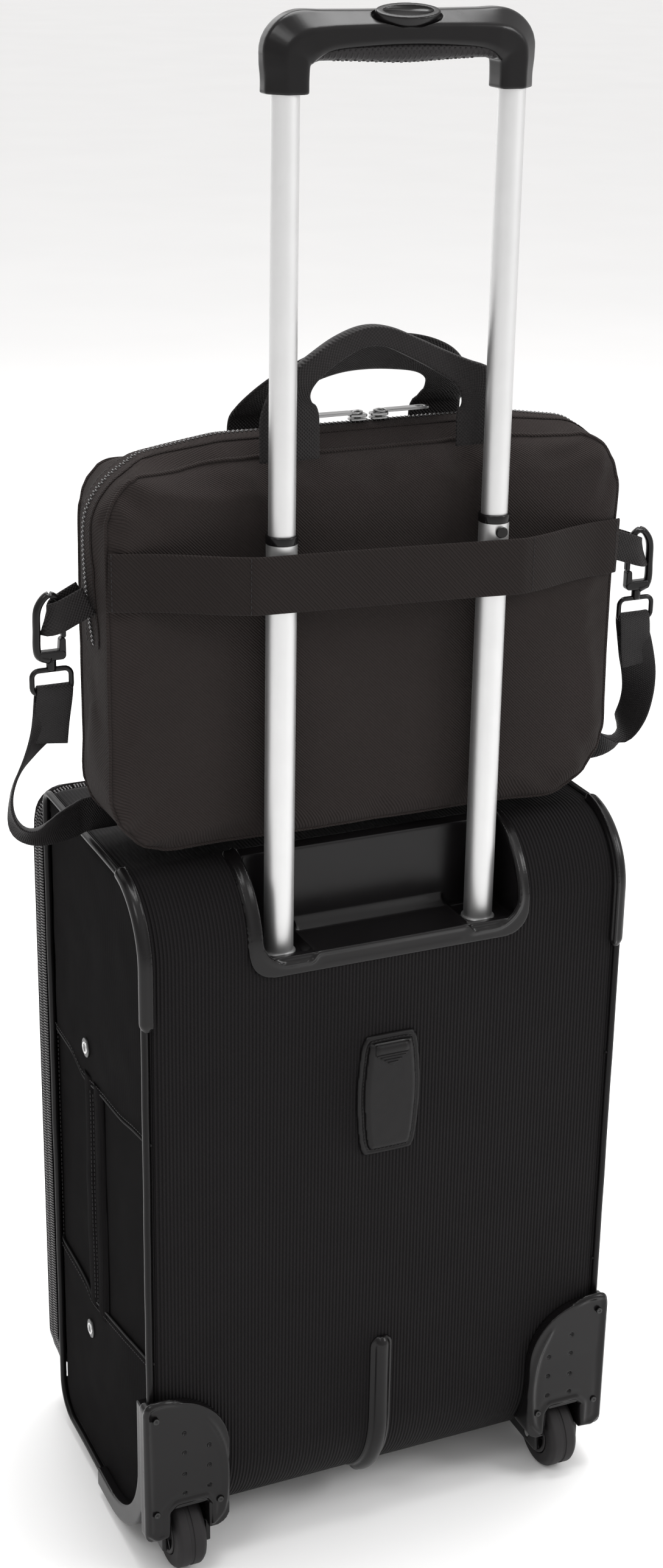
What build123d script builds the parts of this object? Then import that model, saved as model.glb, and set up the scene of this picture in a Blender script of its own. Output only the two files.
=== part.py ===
from build123d import *
import os

# Upright two-wheeled soft case with a telescoping handle, and a laptop briefcase that rides on the
# handle by its trolley strap.  Millimetres.  X is across, +Y points away from the handle side, +Z is up.
# The model is laid out from the plane of the handle tubes (y = 0) and the floor (z = 0), and each
# node is moved by FRAME_SHIFT as it is written, so the origin is under the middle of the whole.

# Case body
HALF_WIDTH = 176.0
BACK_Y = -20.0
FRONT_Y = 187.0
BOTTOM_Z = 12.0
TOP_Z = 538.0
BACK_TOP_RADIUS = 52.0
BACK_BOTTOM_RADIUS = 80.0
FRONT_TOP_RADIUS = 12.0
FRONT_BOTTOM_RADIUS = 26.0
WALL = 3.0
PIPING = 4.0
BOARD_Y = (16.0, 18.0)

# Lid and zips
LID_BACK = 190.6
LID_FRONT = 217.0
LID_HALF_WIDTH = 178.0
LID_Z = (40.5, 527.5)
LID_RADIUS = 22.0
POCKET_FRONT = 225.0
ZIP_GAP = 0.3

# Telescoping handle
TUBE_X = 75.0
INNER_RADIUS = 8.7
MIDDLE_RADIUS = 10.0
OUTER_RADIUS = 11.5
TUBE_WALL = 1.25
RUNNING_FIT = 0.05
STAGE_TRAVEL = 264.0
STAGE_GAP = 3.0
OUTER_TUBE_Z = (96.0, 475.5)
MIDDLE_TUBE_Z = (362.0, 760.0)
INNER_TUBE_Z = (632.0, 1060.0)
RING_Z = (757.5, 764.0)
RING_RADIUS = 11.3
LOCK_Z = (749.5, 756.5)
LOCK_Y = (-13.6, -11.4)
GRIP_HALF_WIDTH = 91.0
GRIP_HALF_DEPTH = 13.0
GRIP_LEG_INNER = 60.0
GRIP_LEG_Z = RING_Z[1] + STAGE_TRAVEL + STAGE_GAP
GRIP_BAR_Z = 1056.0
GRIP_SHOULDER_Z = 1073.0
GRIP_TOP_Z = 1077.0
INSERT_Z = 1047.0

# Handle tray sunk in the back-top edge
TRAY_HALF_WIDTH = 104.0
RECESS_HALF_WIDTH = 96.0
RECESS_FRONT = 19.0
TRAY_LOW_Z = 466.0
RECESS_FLOOR = 480.0
POCKET_FLOOR = 476.0
TRAY_WALL = 2.5

# Wheels and their housings
WHEEL_X = 151.5
WHEEL_Y = -7.0
WHEEL_RADIUS = 28.0
WHEEL_WIDTH = 23.0
HUB_RADIUS = 17.0
AXLE_RADIUS = 3.0
HOUSING_X = (121.0, 185.0)
HOUSING_Z = (38.0, 152.0)
HOUSING_BACK = -28.0
WELL_X = (137.0, 166.0)
WELL_FRONT = 26.0
WELL_TOP = 62.0
CHEEK = 4.0
RAIL_FRONT = 85.0
RAIL_X = 184.0

# Luggage tag on the back panel
TAG_HALF_WIDTH = 22.0
TAG_Z = (317.0, 401.0)
TAG_PIN_Y = -24.2
TAG_PIN_RADIUS = 1.0

# Laptop briefcase
BAG_X = -3.0
BAG_HALF_WIDTH = 189.0
BAG_BACK = 16.4
BAG_FRONT = 80.0
BAG_BOTTOM = 541.5
BAG_SHOULDER = 806.0
BAG_CROWN = 820.0
BAG_CORNER = 54.0
STRAP_Y = 15.2
STRAP_THICK = 1.8
STRAP_WIDTH = 38.0
WEBBING = 38.0
ZIP_Y = 47.0
REAR_HANDLE = {"y": 16.8, "z": 827.0, "x": (-84.0, 92.0), "thick": 5.0, "lean": 0.0, "rise": 59.0, "band": 24.0}
FRONT_HANDLE = {"y": 80.0, "z": 819.0, "x": (-80.0, 88.0), "thick": 3.0, "lean": 39.0, "rise": 84.0, "band": 37.0}
HOOK_X = 214.0
HOOK_Y = 45.0
HOOK_THICK = 7.0

FRAME_SHIFT = Pos(0, -(WHEEL_Y - WHEEL_RADIUS + POCKET_FRONT + 2.5) / 2, 0)


# Shared shapes

def block(x, y, z):
    """A box from three (low, high) pairs."""
    low_high = (x, y, z)
    centre = [(low + high) / 2 for low, high in low_high]
    size = [high - low for low, high in low_high]
    return Pos(*centre) * Box(*size)


def outline(corners):
    """A flat face from (u, v, corner radius) points."""
    face = make_face(Polyline(*[(u, v) for u, v, radius in corners], close=True))
    for u, v, radius in corners:
        if radius > 0:
            corner = min(face.vertices(), key=lambda p: (p.X - u) ** 2 + (p.Y - v) ** 2)
            face = fillet(corner, radius)
    return face


def rectangle(u, v, radius):
    """A rounded rectangle from two (low, high) pairs."""
    return outline([(u[0], v[0], radius), (u[1], v[0], radius), (u[1], v[1], radius), (u[0], v[1], radius)])


def along_x(face, x):
    """A face drawn in (y, z), carried from x[0] to x[1]."""
    return extrude(Plane.YZ.offset(x[0]) * face, x[1] - x[0])


def along_y(face, y):
    """A face drawn in (x, z), carried from y[0] to y[1]."""
    plane = Plane(origin=(0, y[1], 0), x_dir=(1, 0, 0), z_dir=(0, -1, 0))
    return extrude(plane * face, y[1] - y[0])


def rod_x(radius, x, y, z):
    """A round rod along X."""
    return along_x(Pos(y, z) * Circle(radius), x)


def rod_y(radius, x, y, z):
    """A round rod along Y."""
    return along_y(Pos(x, z) * Circle(radius), y)


def tube_z(outer, inner, x, z):
    """An upright tube on the handle plane."""
    ring = Circle(outer) - Circle(inner)
    return extrude(Plane.XY.offset(z[0]) * Pos(x, 0) * ring, z[1] - z[0])


def mirrored(shape):
    """The same shape on the other side of the middle plane."""
    return mirror(shape, about=Plane.YZ)


def ribbon(stations, thickness):
    """Flat webbing through (centre, width vector) stations, as one closed solid."""
    centres = [Vector(*centre) for centre, across in stations]
    rings = []
    for index, (centre, across) in enumerate(stations):
        before = centres[max(index - 1, 0)]
        after = centres[min(index + 1, len(centres) - 1)]
        half = Vector(*across) / 2
        normal = (after - before).cross(half).normalized() * (thickness / 2)
        middle = centres[index]
        rings.append([middle - half - normal, middle + half - normal,
                      middle + half + normal, middle - half + normal])
    faces = [Face(Wire.make_polygon(rings[0])), Face(Wire.make_polygon(rings[-1]))]
    for near, far in zip(rings, rings[1:]):
        for side in range(4):
            after = (side + 1) % 4
            faces.append(Face(Wire.make_polygon([near[side], near[after], far[after]])))
            faces.append(Face(Wire.make_polygon([near[side], far[after], far[side]])))
    return Solid(Shell(faces))


def write(name, *solids):
    """Write one node, moved to the frame of the whole."""
    shape = Compound([solid for part in solids for solid in part.solids()])
    export_step(FRAME_SHIFT * shape, f"parts/{name}.step")


# Case shell

def profile(offset=0.0):
    """Side outline of the case body in (y, z), grown by offset."""
    back = BACK_Y - offset
    front = FRONT_Y + offset
    low = BOTTOM_Z - offset
    high = TOP_Z + offset
    return outline([
        (back, low, BACK_BOTTOM_RADIUS + offset),
        (front, low, FRONT_BOTTOM_RADIUS + offset),
        (front, high, FRONT_TOP_RADIUS + offset),
        (back, high, BACK_TOP_RADIUS + offset),
    ])


def wheel_wells():
    """Space that both wheel wells take from the case shell."""
    left = block((-WELL_X[1] - CHEEK, -WELL_X[0] + CHEEK), (-60, WELL_FRONT + CHEEK), (0, WELL_TOP + CHEEK))
    return left + mirrored(left)


def tray_space():
    """Space that the handle tray takes from the case shell."""
    wide = RECESS_HALF_WIDTH + TRAY_WALL
    return block((-wide, wide), (-60, RECESS_FRONT + TRAY_WALL), (POCKET_FLOOR - TRAY_WALL, TOP_Z + 9))


def case_wrap():
    """Cloth that runs round the case between the side panels, open at the front."""
    inside = HALF_WIDTH - WALL
    wrap = along_x(profile() - profile(-WALL), (-inside, inside))
    mouth = block((-HALF_WIDTH, HALF_WIDTH), (FRONT_Y - WALL, FRONT_Y + 1), rim_z())
    return wrap - mouth - wheel_wells() - tray_space()


def rim_z():
    """Height span of the flat front of the case body."""
    return (BOTTOM_Z + FRONT_BOTTOM_RADIUS, TOP_Z - FRONT_TOP_RADIUS)


def split_height():
    """Height where the back panel meets the bottom panel."""
    return BOTTOM_Z + BACK_BOTTOM_RADIUS


def half_space(low, high):
    """Everything between two heights."""
    return block((-300, 300), (-100, 300), (low, high))


def side_panel():
    inside = -HALF_WIDTH + WALL
    return along_x(profile(), (-HALF_WIDTH, inside)) - wheel_wells()


def front_rim():
    inside = HALF_WIDTH - WALL
    plate = rectangle((-inside, inside), rim_z(), 0)
    mouth = rectangle((-158, 158), (50, 514), 20)
    return along_y(plate - mouth, (FRONT_Y - WALL, FRONT_Y))


def back_board():
    board = rectangle((-164, 164), (70, POCKET_FLOOR - TRAY_WALL - 1), 12)
    return along_y(board, BOARD_Y)


def edge_piping():
    """Round cord sewn into both side seams, cut away where the mouldings cover it."""
    cord = along_x(profile(1.5) - profile(-PIPING), (-HALF_WIDTH - PIPING, -HALF_WIDTH))
    cord -= block((-200, -150), (-60, 34.5), (437.5, 600))
    cord -= block((-200, -150), (-60, RAIL_FRONT + 0.5), (0, HOUSING_Z[1] + 0.5))
    return cord


def corner_guard():
    """Moulded guard over a back-top corner, L-shaped in section."""
    edge = -HALF_WIDTH
    guard = along_x(profile(3), (edge - 6.5, edge + 8))
    guard -= along_x(profile(), (edge, edge + 9))
    guard -= along_x(profile(-9), (edge - 7, edge))
    return guard & block((-200, -150), (-60, 34), (438, 600))


def side_overlays():
    """Reinforcing cloth on a side panel: upper, lower, and a padded strip between them."""
    cloth = (-HALF_WIDTH - 0.8, -HALF_WIDTH)
    inner = profile(-PIPING - 0.5)
    upper = inner & outline([(-30, 356, 0), (60, 353, 20), (110, 328, 20), (200, 350, 0), (200, 600, 0), (-30, 600, 0)])
    lower = inner & outline([(-30, 0, 0), (200, 0, 0), (200, 171, 0), (120, 166, 20), (60, 190, 20), (-30, 183, 0)])
    strip = rectangle((78, 96), (200, 326), 2)
    trim = block((-200, -150), (-60, RAIL_FRONT + 0.5), (0, HOUSING_Z[1] + 0.5))
    guard = block((-200, -150), (-60, 34.5), (437.5, 600))
    skirt = along_x(profile(-13), (-200, -150))
    solids = [along_x(upper, cloth) - (guard - skirt), along_x(lower, cloth) - (trim - skirt)]
    solids.append(along_x(strip, (-HALF_WIDTH - 2.0, -HALF_WIDTH)))
    return solids


def overlay_rivets():
    spots = [(105, 370), (110, 131)]
    rivets = [rod_x(5.0, (-HALF_WIDTH - 2.6, -HALF_WIDTH - 0.8), y, z) for y, z in spots]
    return rivets + [mirrored(rivet) for rivet in rivets]


# Handle tray and fixed tubes

def handle_tray():
    """Moulded bezel and recess that the grip folds into."""
    wide = RECESS_HALF_WIDTH + TRAY_WALL
    front = RECESS_FRONT + TRAY_WALL
    skin = along_x(profile(2.5) - profile(), (-TRAY_HALF_WIDTH, TRAY_HALF_WIDTH))
    bezel = rectangle((-TRAY_HALF_WIDTH, TRAY_HALF_WIDTH), (TRAY_LOW_Z, TOP_Z + 60), 18)
    skin &= along_y(bezel, (-60, front + 8))
    low = POCKET_FLOOR - TRAY_WALL
    cup = block((-wide, wide), (-60, front), (low, TOP_Z + 5))
    cup &= along_x(profile(2.5), (-wide, wide))
    recess = block((-RECESS_HALF_WIDTH, RECESS_HALF_WIDTH), (-60, RECESS_FRONT), (RECESS_FLOOR, TOP_Z + 20))
    tray = skin + cup - recess
    pocket = block((58, RECESS_HALF_WIDTH), (-17, RECESS_FRONT), (POCKET_FLOOR, RECESS_FLOOR + 1))
    tray = tray - pocket - mirrored(pocket)
    bore = extrude(Plane.XY.offset(low - 1) * Pos(TUBE_X, 0) * Circle(OUTER_RADIUS + RUNNING_FIT), 20)
    return tray - bore - mirrored(bore)


def tube_pair(outer, inner, z):
    tube = tube_z(outer, inner, -TUBE_X, z)
    return [tube, mirrored(tube)]


def tube_bracket():
    """Foot that carries the outer tubes between the back panel and the board."""
    low = OUTER_TUBE_Z[0]
    bar = block((-95, 95), (BACK_Y + WALL, BOARD_Y[0]), (low - 4, low + 18))
    socket = extrude(Plane.XY.offset(low) * Pos(TUBE_X, 0) * Circle(OUTER_RADIUS + RUNNING_FIT), 30)
    return bar - socket - mirrored(socket)


# Wheels

def wheel_housing():
    """Moulded corner with a plate, a wheel well, two axle cheeks and a rail under the side edge."""
    x_out, x_in = -HOUSING_X[1], -HOUSING_X[0]
    plate = outline([(x_out, HOUSING_Z[0], 6), (x_in, HOUSING_Z[0], 12), (x_in, HOUSING_Z[1], 46),
                     (x_out, HOUSING_Z[1], 5)])
    shell = along_y(plate, (HOUSING_BACK, 14))
    shell -= along_x(profile(), (-HALF_WIDTH, 0))
    shell -= block((-200, -HALF_WIDTH), (BACK_Y - 1, 20), (0, 200)) - block((-200, 0), (-60, -17), (0, 200))
    rail = along_x(profile(3) - profile(-12), (-RAIL_X, -HALF_WIDTH))
    rail &= block((-200, -150), (HOUSING_BACK, RAIL_FRONT), (0, HOUSING_Z[1] - 4))
    well = block((-WELL_X[1] - CHEEK, -WELL_X[0] + CHEEK), (BACK_Y, WELL_FRONT + CHEEK),
                 (BOTTOM_Z + 8, WELL_TOP + CHEEK))
    cheek = rectangle((WHEEL_Y - 9, WHEEL_Y + 20), (WHEEL_RADIUS - 7, WELL_TOP), 6)
    cheeks = along_x(cheek, (-WELL_X[1] - CHEEK, -WELL_X[0] + CHEEK))
    housing = shell + rail + well + cheeks
    housing -= block((-WELL_X[1], -WELL_X[0]), (-60, WELL_FRONT), (0, WELL_TOP))
    return housing - rod_x(AXLE_RADIUS + RUNNING_FIT, (-HALF_WIDTH - 1, -130), WHEEL_Y, WHEEL_RADIUS)


def wheel_axle():
    reach = (-WELL_X[1] - CHEEK, -WELL_X[0] + CHEEK)
    return rod_x(AXLE_RADIUS, reach, WHEEL_Y, WHEEL_RADIUS)


def tyre():
    half = WHEEL_WIDTH / 2
    ring = rod_x(WHEEL_RADIUS, (-WHEEL_X - half, -WHEEL_X + half), WHEEL_Y, WHEEL_RADIUS)
    rims = ring.edges().filter_by(GeomType.CIRCLE)
    ring = fillet(rims, 5.0)
    return ring - rod_x(HUB_RADIUS, (-200, -100), WHEEL_Y, WHEEL_RADIUS)


def wheel_hub():
    half = WHEEL_WIDTH / 2 + 1.5
    hub = rod_x(HUB_RADIUS, (-WHEEL_X - half, -WHEEL_X + half), WHEEL_Y, WHEEL_RADIUS)
    dish = rod_x(13.0, (-WHEEL_X - half, -WHEEL_X - 4), WHEEL_Y, WHEEL_RADIUS)
    boss = rod_x(6.0, (-WHEEL_X - half, -WHEEL_X - 4), WHEEL_Y, WHEEL_RADIUS)
    dishes = dish - boss
    far_dishes = Pos(-2 * WHEEL_X, 0, 0) * mirrored(dishes)
    return hub - dishes - far_dishes - rod_x(AXLE_RADIUS + RUNNING_FIT, (-200, -100), WHEEL_Y, WHEEL_RADIUS)


def housing_screws():
    """Countersunk screws in the flat face of both housings."""
    places = [(-177, 142), (-129, 62), (-177, 62)]
    screws = [rod_y(3.2, x, (HOUSING_BACK - 0.8, HOUSING_BACK), z) for x, z in places]
    return screws + [mirrored(screw) for screw in screws]


def skid_bar():
    """Half-round runner up the middle of the back, on a thin flange."""
    bar = along_x(profile(7) - profile(), (-6, 6)) + along_x(profile(2) - profile(), (-9, 9))
    return bar & block((-20, 20), (-60, 22), (0, 161))


def front_feet():
    foot = along_y(outline([(-142, 0, 3), (-106, 0, 3), (-102, BOTTOM_Z, 0), (-146, BOTTOM_Z, 0)]), (134, 160))
    return [foot, mirrored(foot)]


# Front lid and zips

def lid_outline(inset=0.0):
    wide = LID_HALF_WIDTH - inset
    return rectangle((-wide, wide), (LID_Z[0] + inset, LID_Z[1] - inset), LID_RADIUS - inset)


def zip_frame(half_width, depth):
    """Zip tape round the sides and top, open along the hinge at the bottom."""
    inset = LID_HALF_WIDTH - half_width
    frame = along_y(lid_outline(inset) - lid_outline(inset + 8), depth)
    return frame & half_space(LID_Z[0] + 14, TOP_Z)


def main_zip():
    return zip_frame(HALF_WIDTH - 0.5, (FRONT_Y + ZIP_GAP, LID_BACK - 1.5))


def lid_panel():
    """Shallow padded tray that closes the front."""
    tray = along_y(lid_outline(), (LID_BACK, LID_FRONT))
    tray = fillet(tray.faces().sort_by(Axis.Y)[-1].edges(), 9.0)
    hollow = along_y(lid_outline(WALL), (LID_BACK - 1, LID_FRONT - WALL))
    return tray - hollow


def lid_pockets():
    pockets = []
    for z in ((62, 326), (348, 486)):
        pocket = along_y(rectangle((-146, 146), z, 16), (LID_FRONT, POCKET_FRONT))
        pockets.append(fillet(pocket.faces().sort_by(Axis.Y)[-1].edges(), 3.0))
    return pockets


POCKET_ZIPS = {"upper": 496.0, "lower": 337.0}


def lid_zips():
    """The lid's half of the main zip, and the two pocket zips."""
    zips = [zip_frame(LID_HALF_WIDTH - 1, (LID_BACK - 1.2, LID_BACK))]
    for z in POCKET_ZIPS.values():
        zips.append(along_y(rectangle((-138, 138), (z - 4, z + 4), 1), (LID_FRONT, LID_FRONT + 1.6)))
    return zips


def pocket_slider(z):
    """Slider with its pull hanging over the pocket."""
    x = -124.0
    body = along_y(rectangle((x - 6, x + 6), (z - 5, z + 5), 2), (LID_FRONT + 2, POCKET_FRONT + 0.4))
    tab = along_y(rectangle((x - 4, x + 4), (z - 30, z + 3), 2), (POCKET_FRONT + 0.4, POCKET_FRONT + 2.4))
    return [body, tab]


def main_slider():
    return along_y(rectangle((-22, -8), (528.2, 533.0), 1.5), (187.4, 195.4))


def main_pull():
    body = extrude(Plane.XY.offset(533.4) * outline([(-50, 188, 2), (-14, 188, 2), (-14, 195, 2), (-50, 195, 2)]), 1.8)
    return body


def top_handle():
    """Padded grab handle with a tab at each end that lifts in its mount."""
    bar = outline([(-78, 540.5, 0), (-74, 540.5, 0), (-74, 551, 3), (74, 551, 3), (74, 540.5, 0), (78, 540.5, 0),
                   (78, 558, 7), (-78, 558, 7)])
    return along_y(bar, (106, 130))


def handle_mounts():
    mount = along_y(outline([(-88, TOP_Z, 0), (-64, TOP_Z, 0), (-68, 549, 3), (-84, 549, 3)]), (102, 134))
    mount -= block((-78.6, -73.4), (105.4, 130.6), (TOP_Z + 1.5, 560))
    return [mount, mirrored(mount)]


# Luggage tag

def tag_holder():
    """Stitched base with the hinge lugs and pin, and the address card in it."""
    base = along_y(rectangle((-TAG_HALF_WIDTH, TAG_HALF_WIDTH), (TAG_Z[0], TAG_Z[1] + 5), 4), (BACK_Y - 1.4, BACK_Y))
    card = along_y(rectangle((-18, 18), (TAG_Z[0] + 4, TAG_Z[1] - 6), 2), (BACK_Y - 2.0, BACK_Y - 1.4))
    lug = along_x(rectangle((TAG_PIN_Y - 2.2, BACK_Y - 1.4), (TAG_Z[1] - 0.4, TAG_Z[1] + 4), 1), (18.5, 21.5))
    pin = rod_x(TAG_PIN_RADIUS, (-21, 21), TAG_PIN_Y, TAG_Z[1] + 1.8)
    base = base + (lug - pin) + mirrored(lug - pin)
    return [base, card, pin]


def tag_cover():
    """Hinged cover with a pointed tab, on a barrel round the pin."""
    face = rectangle((-TAG_HALF_WIDTH, TAG_HALF_WIDTH), (TAG_Z[0], TAG_Z[1] - 1.2), 4)
    cover = along_y(face, (TAG_PIN_Y - 1.0, TAG_PIN_Y + 1.0))
    barrel = rod_x(2.2, (-18, 18), TAG_PIN_Y, TAG_Z[1] + 1.8) + block((-18, 18), (TAG_PIN_Y - 1, TAG_PIN_Y + 1),
                                                                      (TAG_Z[1] - 2, TAG_Z[1] + 1))
    tab = along_y(outline([(-12, TAG_Z[0] + 12, 0), (12, TAG_Z[0] + 12, 0), (0, TAG_Z[0] + 26, 1)]),
                  (TAG_PIN_Y - 2.2, TAG_PIN_Y - 1.0))
    return cover + barrel + tab - rod_x(TAG_PIN_RADIUS + RUNNING_FIT, (-30, 30), TAG_PIN_Y, TAG_Z[1] + 1.8)


# Telescoping stages

def tube_rings():
    collar = tube_z(RING_RADIUS, MIDDLE_RADIUS, -TUBE_X, (RING_Z[0], MIDDLE_TUBE_Z[1]))
    lip = tube_z(RING_RADIUS, INNER_RADIUS + RUNNING_FIT, -TUBE_X, (MIDDLE_TUBE_Z[1], RING_Z[1]))
    ring = collar + lip
    return [ring, mirrored(ring)]


def lock_button():
    """Small latch cap on the right middle tube."""
    cap = along_y(rectangle((TUBE_X - 4, TUBE_X + 4), LOCK_Z, 3), LOCK_Y)
    return cap


def grip_shell():
    """Moulded grip: two legs over the tubes and a bar with a recess for the button."""
    wide, leg = GRIP_HALF_WIDTH, GRIP_LEG_INNER
    face = outline([(-wide, GRIP_LEG_Z, 3), (-wide, GRIP_SHOULDER_Z, 20), (0, GRIP_TOP_Z, 0),
                    (wide, GRIP_SHOULDER_Z, 20), (wide, GRIP_LEG_Z, 3), (leg, GRIP_LEG_Z, 3),
                    (leg, GRIP_BAR_Z, 0), (-leg, GRIP_BAR_Z, 0), (-leg, GRIP_LEG_Z, 3)])
    shell = along_y(face, (-GRIP_HALF_DEPTH, GRIP_HALF_DEPTH))
    rims = shell.edges().filter_by(Plane.XZ).filter_by(lambda edge: edge.center().Z > GRIP_BAR_Z + 8)
    shell = fillet(rims, 5.0)
    bore = extrude(Plane.XY.offset(GRIP_LEG_Z - 1) * Pos(TUBE_X, 0) * Circle(INNER_RADIUS + RUNNING_FIT),
                   INNER_TUBE_Z[1] - GRIP_LEG_Z + 1)
    shell = shell - bore - mirrored(bore)
    return shell - button_shape(22.5, 9.5, (1064.0, 1090.0))


def button_shape(half_length, half_width, z):
    """Oval prism on top of the grip."""
    oval = SlotOverall(2 * half_length, 2 * half_width)
    return extrude(Plane.XY.offset(z[0]) * oval, z[1] - z[0])


def grip_insert():
    """Soft pad under the bar."""
    pad = block((-GRIP_LEG_INNER, GRIP_LEG_INNER), (-GRIP_HALF_DEPTH, GRIP_HALF_DEPTH), (INSERT_Z, GRIP_BAR_Z))
    low_edges = pad.faces().sort_by(Axis.Z)[0].edges().filter_by(Axis.X)
    return fillet(low_edges, 5.0)


# Laptop briefcase

def bag_body():
    """Closed soft body: rounded panel outline, crowned top."""
    x = (BAG_X - BAG_HALF_WIDTH, BAG_X + BAG_HALF_WIDTH)
    body = along_y(rectangle(x, (BAG_BOTTOM, BAG_CROWN), BAG_CORNER), (BAG_BACK, BAG_FRONT))
    side = outline([(BAG_BACK, BAG_BOTTOM, 8), (BAG_FRONT, BAG_BOTTOM, 8), (BAG_FRONT, BAG_SHOULDER, 6),
                    (ZIP_Y, BAG_CROWN, 30), (BAG_BACK, BAG_SHOULDER, 4)])
    body &= along_x(side, x)
    pocket = along_y(rectangle((x[0] + 30, x[1] - 30), (592, 770), 20), (BAG_FRONT + 0.2, BAG_FRONT + 6))
    return [body, pocket]


def trolley_strap():
    """Webbing sleeve across the rear of the bag that the handle tubes pass through."""
    slope = -0.034
    level = 732.5
    path = [(-186, STRAP_Y), (-168, STRAP_Y), (-98, -STRAP_Y), (98, -STRAP_Y), (162, STRAP_Y), (180, STRAP_Y)]
    return ribbon([((x, y, level + slope * x), (0, 0, STRAP_WIDTH)) for x, y in path], STRAP_THICK)


def bag_zip():
    tape = outline([(BAG_X - 130, ZIP_Y - 4, 0), (BAG_X + 130, ZIP_Y - 4, 0), (BAG_X + 130, ZIP_Y + 4, 0),
                    (BAG_X - 130, ZIP_Y + 4, 0)])
    return extrude(Plane.XY.offset(BAG_CROWN - 1) * tape, 2.2)


def bag_slider(centre):
    top = BAG_CROWN + 1.6
    return block((centre - 6, centre + 6), (ZIP_Y - 4.5, ZIP_Y + 4.5), (top, top + 4.5))


def bag_pull(centre, toward):
    """Metal pull that lies along the zip, away from the other slider."""
    top = BAG_CROWN + 6.5
    near, far = sorted((centre, centre + toward * 36))
    return block((near, far), (ZIP_Y - 4, ZIP_Y + 4), (top, top + 1.8))


def bag_handle(spec):
    """Folded webbing handle, flat to the bag at its ends, drawn leaning by spec lean degrees."""
    left, right = spec["x"]
    low = spec["z"] + 0.6
    over = low + spec["rise"]
    inner = over - spec["band"]
    band = outline([
        (left, low, 0), (left, low + 14, 6), (left + 52, over - 2, 20), (right - 62, over, 20), (right, low + 30, 12),
        (right, low, 0), (right - WEBBING, low, 0), (right - WEBBING, low + 10, 3), (right - 66, inner, 14),
        (left + 62, inner, 14), (left + WEBBING, low + 8, 3), (left + WEBBING, low, 0),
    ])
    y = (spec["y"] - spec["thick"] / 2, spec["y"] + spec["thick"] / 2)
    pivot = Pos(0, spec["y"], spec["z"])
    return pivot * Rot(spec["lean"], 0, 0) * pivot.inverse() * along_y(band, y)


def bag_webbing():
    """Sewn handle ends on the front and rear panels, and the side loops for the hooks."""
    solids = []
    for spec, y in ((REAR_HANDLE, (BAG_BACK - 2.1, BAG_BACK - 0.2)), (FRONT_HANDLE, (BAG_FRONT + 0.2, BAG_FRONT + 2))):
        top = spec["z"] - 2.2
        for left in (spec["x"][0], spec["x"][1] - WEBBING):
            solids.append(block((left, left + WEBBING), y, (BAG_SHOULDER - 8, top)))
    solids.append(side_loop(BAG_X - BAG_HALF_WIDTH - 0.3, -1))
    solids.append(side_loop(BAG_X + BAG_HALF_WIDTH + 0.3, 1))
    return solids


def side_loop(start, side):
    """Webbing loop out of the side seam, through the eye of the snap hook."""
    reach = side * 216.5
    path = [(start, 51), (reach - side * 6, 51), (reach - side * 1.5, 49), (reach, 45), (reach - side * 1.5, 41),
            (reach - side * 6, 39), (start, 39)]
    return ribbon([((x, y, 712.5), (0, 0, 19)) for x, y in path], STRAP_THICK)


def snap_hook():
    """Left swivel hook: eye with a nose, barrel, and a ring for the strap."""
    y = (HOOK_Y - HOOK_THICK / 2, HOOK_Y + HOOK_THICK / 2)
    x = (-HOOK_X - 11, -HOOK_X + 11)
    eye = rectangle(x, (684, 729), 9) - rectangle((x[0] + 5, x[1] - 5), (692, 723.5), 5)
    eye -= rectangle((x[1] - 5.2, x[1] + 1), (697.6, 716), 0)
    barrel = extrude(Plane.XY.offset(677) * Pos(-HOOK_X, HOOK_Y) * Circle(3.2), 8)
    ring = rectangle((-HOOK_X - 13, -HOOK_X + 13), (660, 677.5), 4) - rectangle(
        (-HOOK_X - 9.5, -HOOK_X + 9.5), (663.5, 674), 2)
    return along_y(eye, y) + barrel + along_y(ring, (HOOK_Y - 2, HOOK_Y + 2))


def hook_gate():
    x = (-HOOK_X + 6.2, -HOOK_X + 10.4)
    return along_y(rectangle(x, (698.8, 715.4), 1.5), (HOOK_Y - 2.5, HOOK_Y + 2.5))


STRAP_ROUTE = [
    ((-214, 45, 635.5), (18, 0, 0)), ((-221, 45, 615), (24, 2, 0)), ((-229, 47, 597), (24, 6, -3)),
    ((-231, 52, 580), (20, 12, -10)), ((-224, 62, 565), (11, 12, -18)), ((-210, 75, 558), (4, 6, -24)),
    ((-196, 83.5, 557), (0, 0, -25)), ((-172, 87, 557), (0, 0, -25)), ((172, 87, 557), (0, 0, -25)),
    ((194, 83, 559), (0, 0, -25)), ((211, 72, 567), (-4, 6, -24)), ((225, 60, 582), (-10, 12, -18)),
    ((231, 51, 600), (-16, 14, -10)), ((226, 46, 618), (-22, 6, -2)), ((214, 45, 635.5), (-18, 0, 0)),
]


def shoulder_strap():
    """Strap that lies in front of the bag, with a sewn loop through the ring of each hook."""
    solids = [ribbon(STRAP_ROUTE, 2.0)]
    for side in (-1, 1):
        path = [(1.3, 636), (3.0, 652), (3.4, 662), (2.6, 666), (0, 667.6), (-2.6, 666), (-3.4, 662), (-3.0, 652),
                (-1.3, 636)]
        stations = [((side * HOOK_X, HOOK_Y + y, z), (18, 0, 0)) for y, z in path]
        solids.append(ribbon(stations, 1.6))
    return solids


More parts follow.
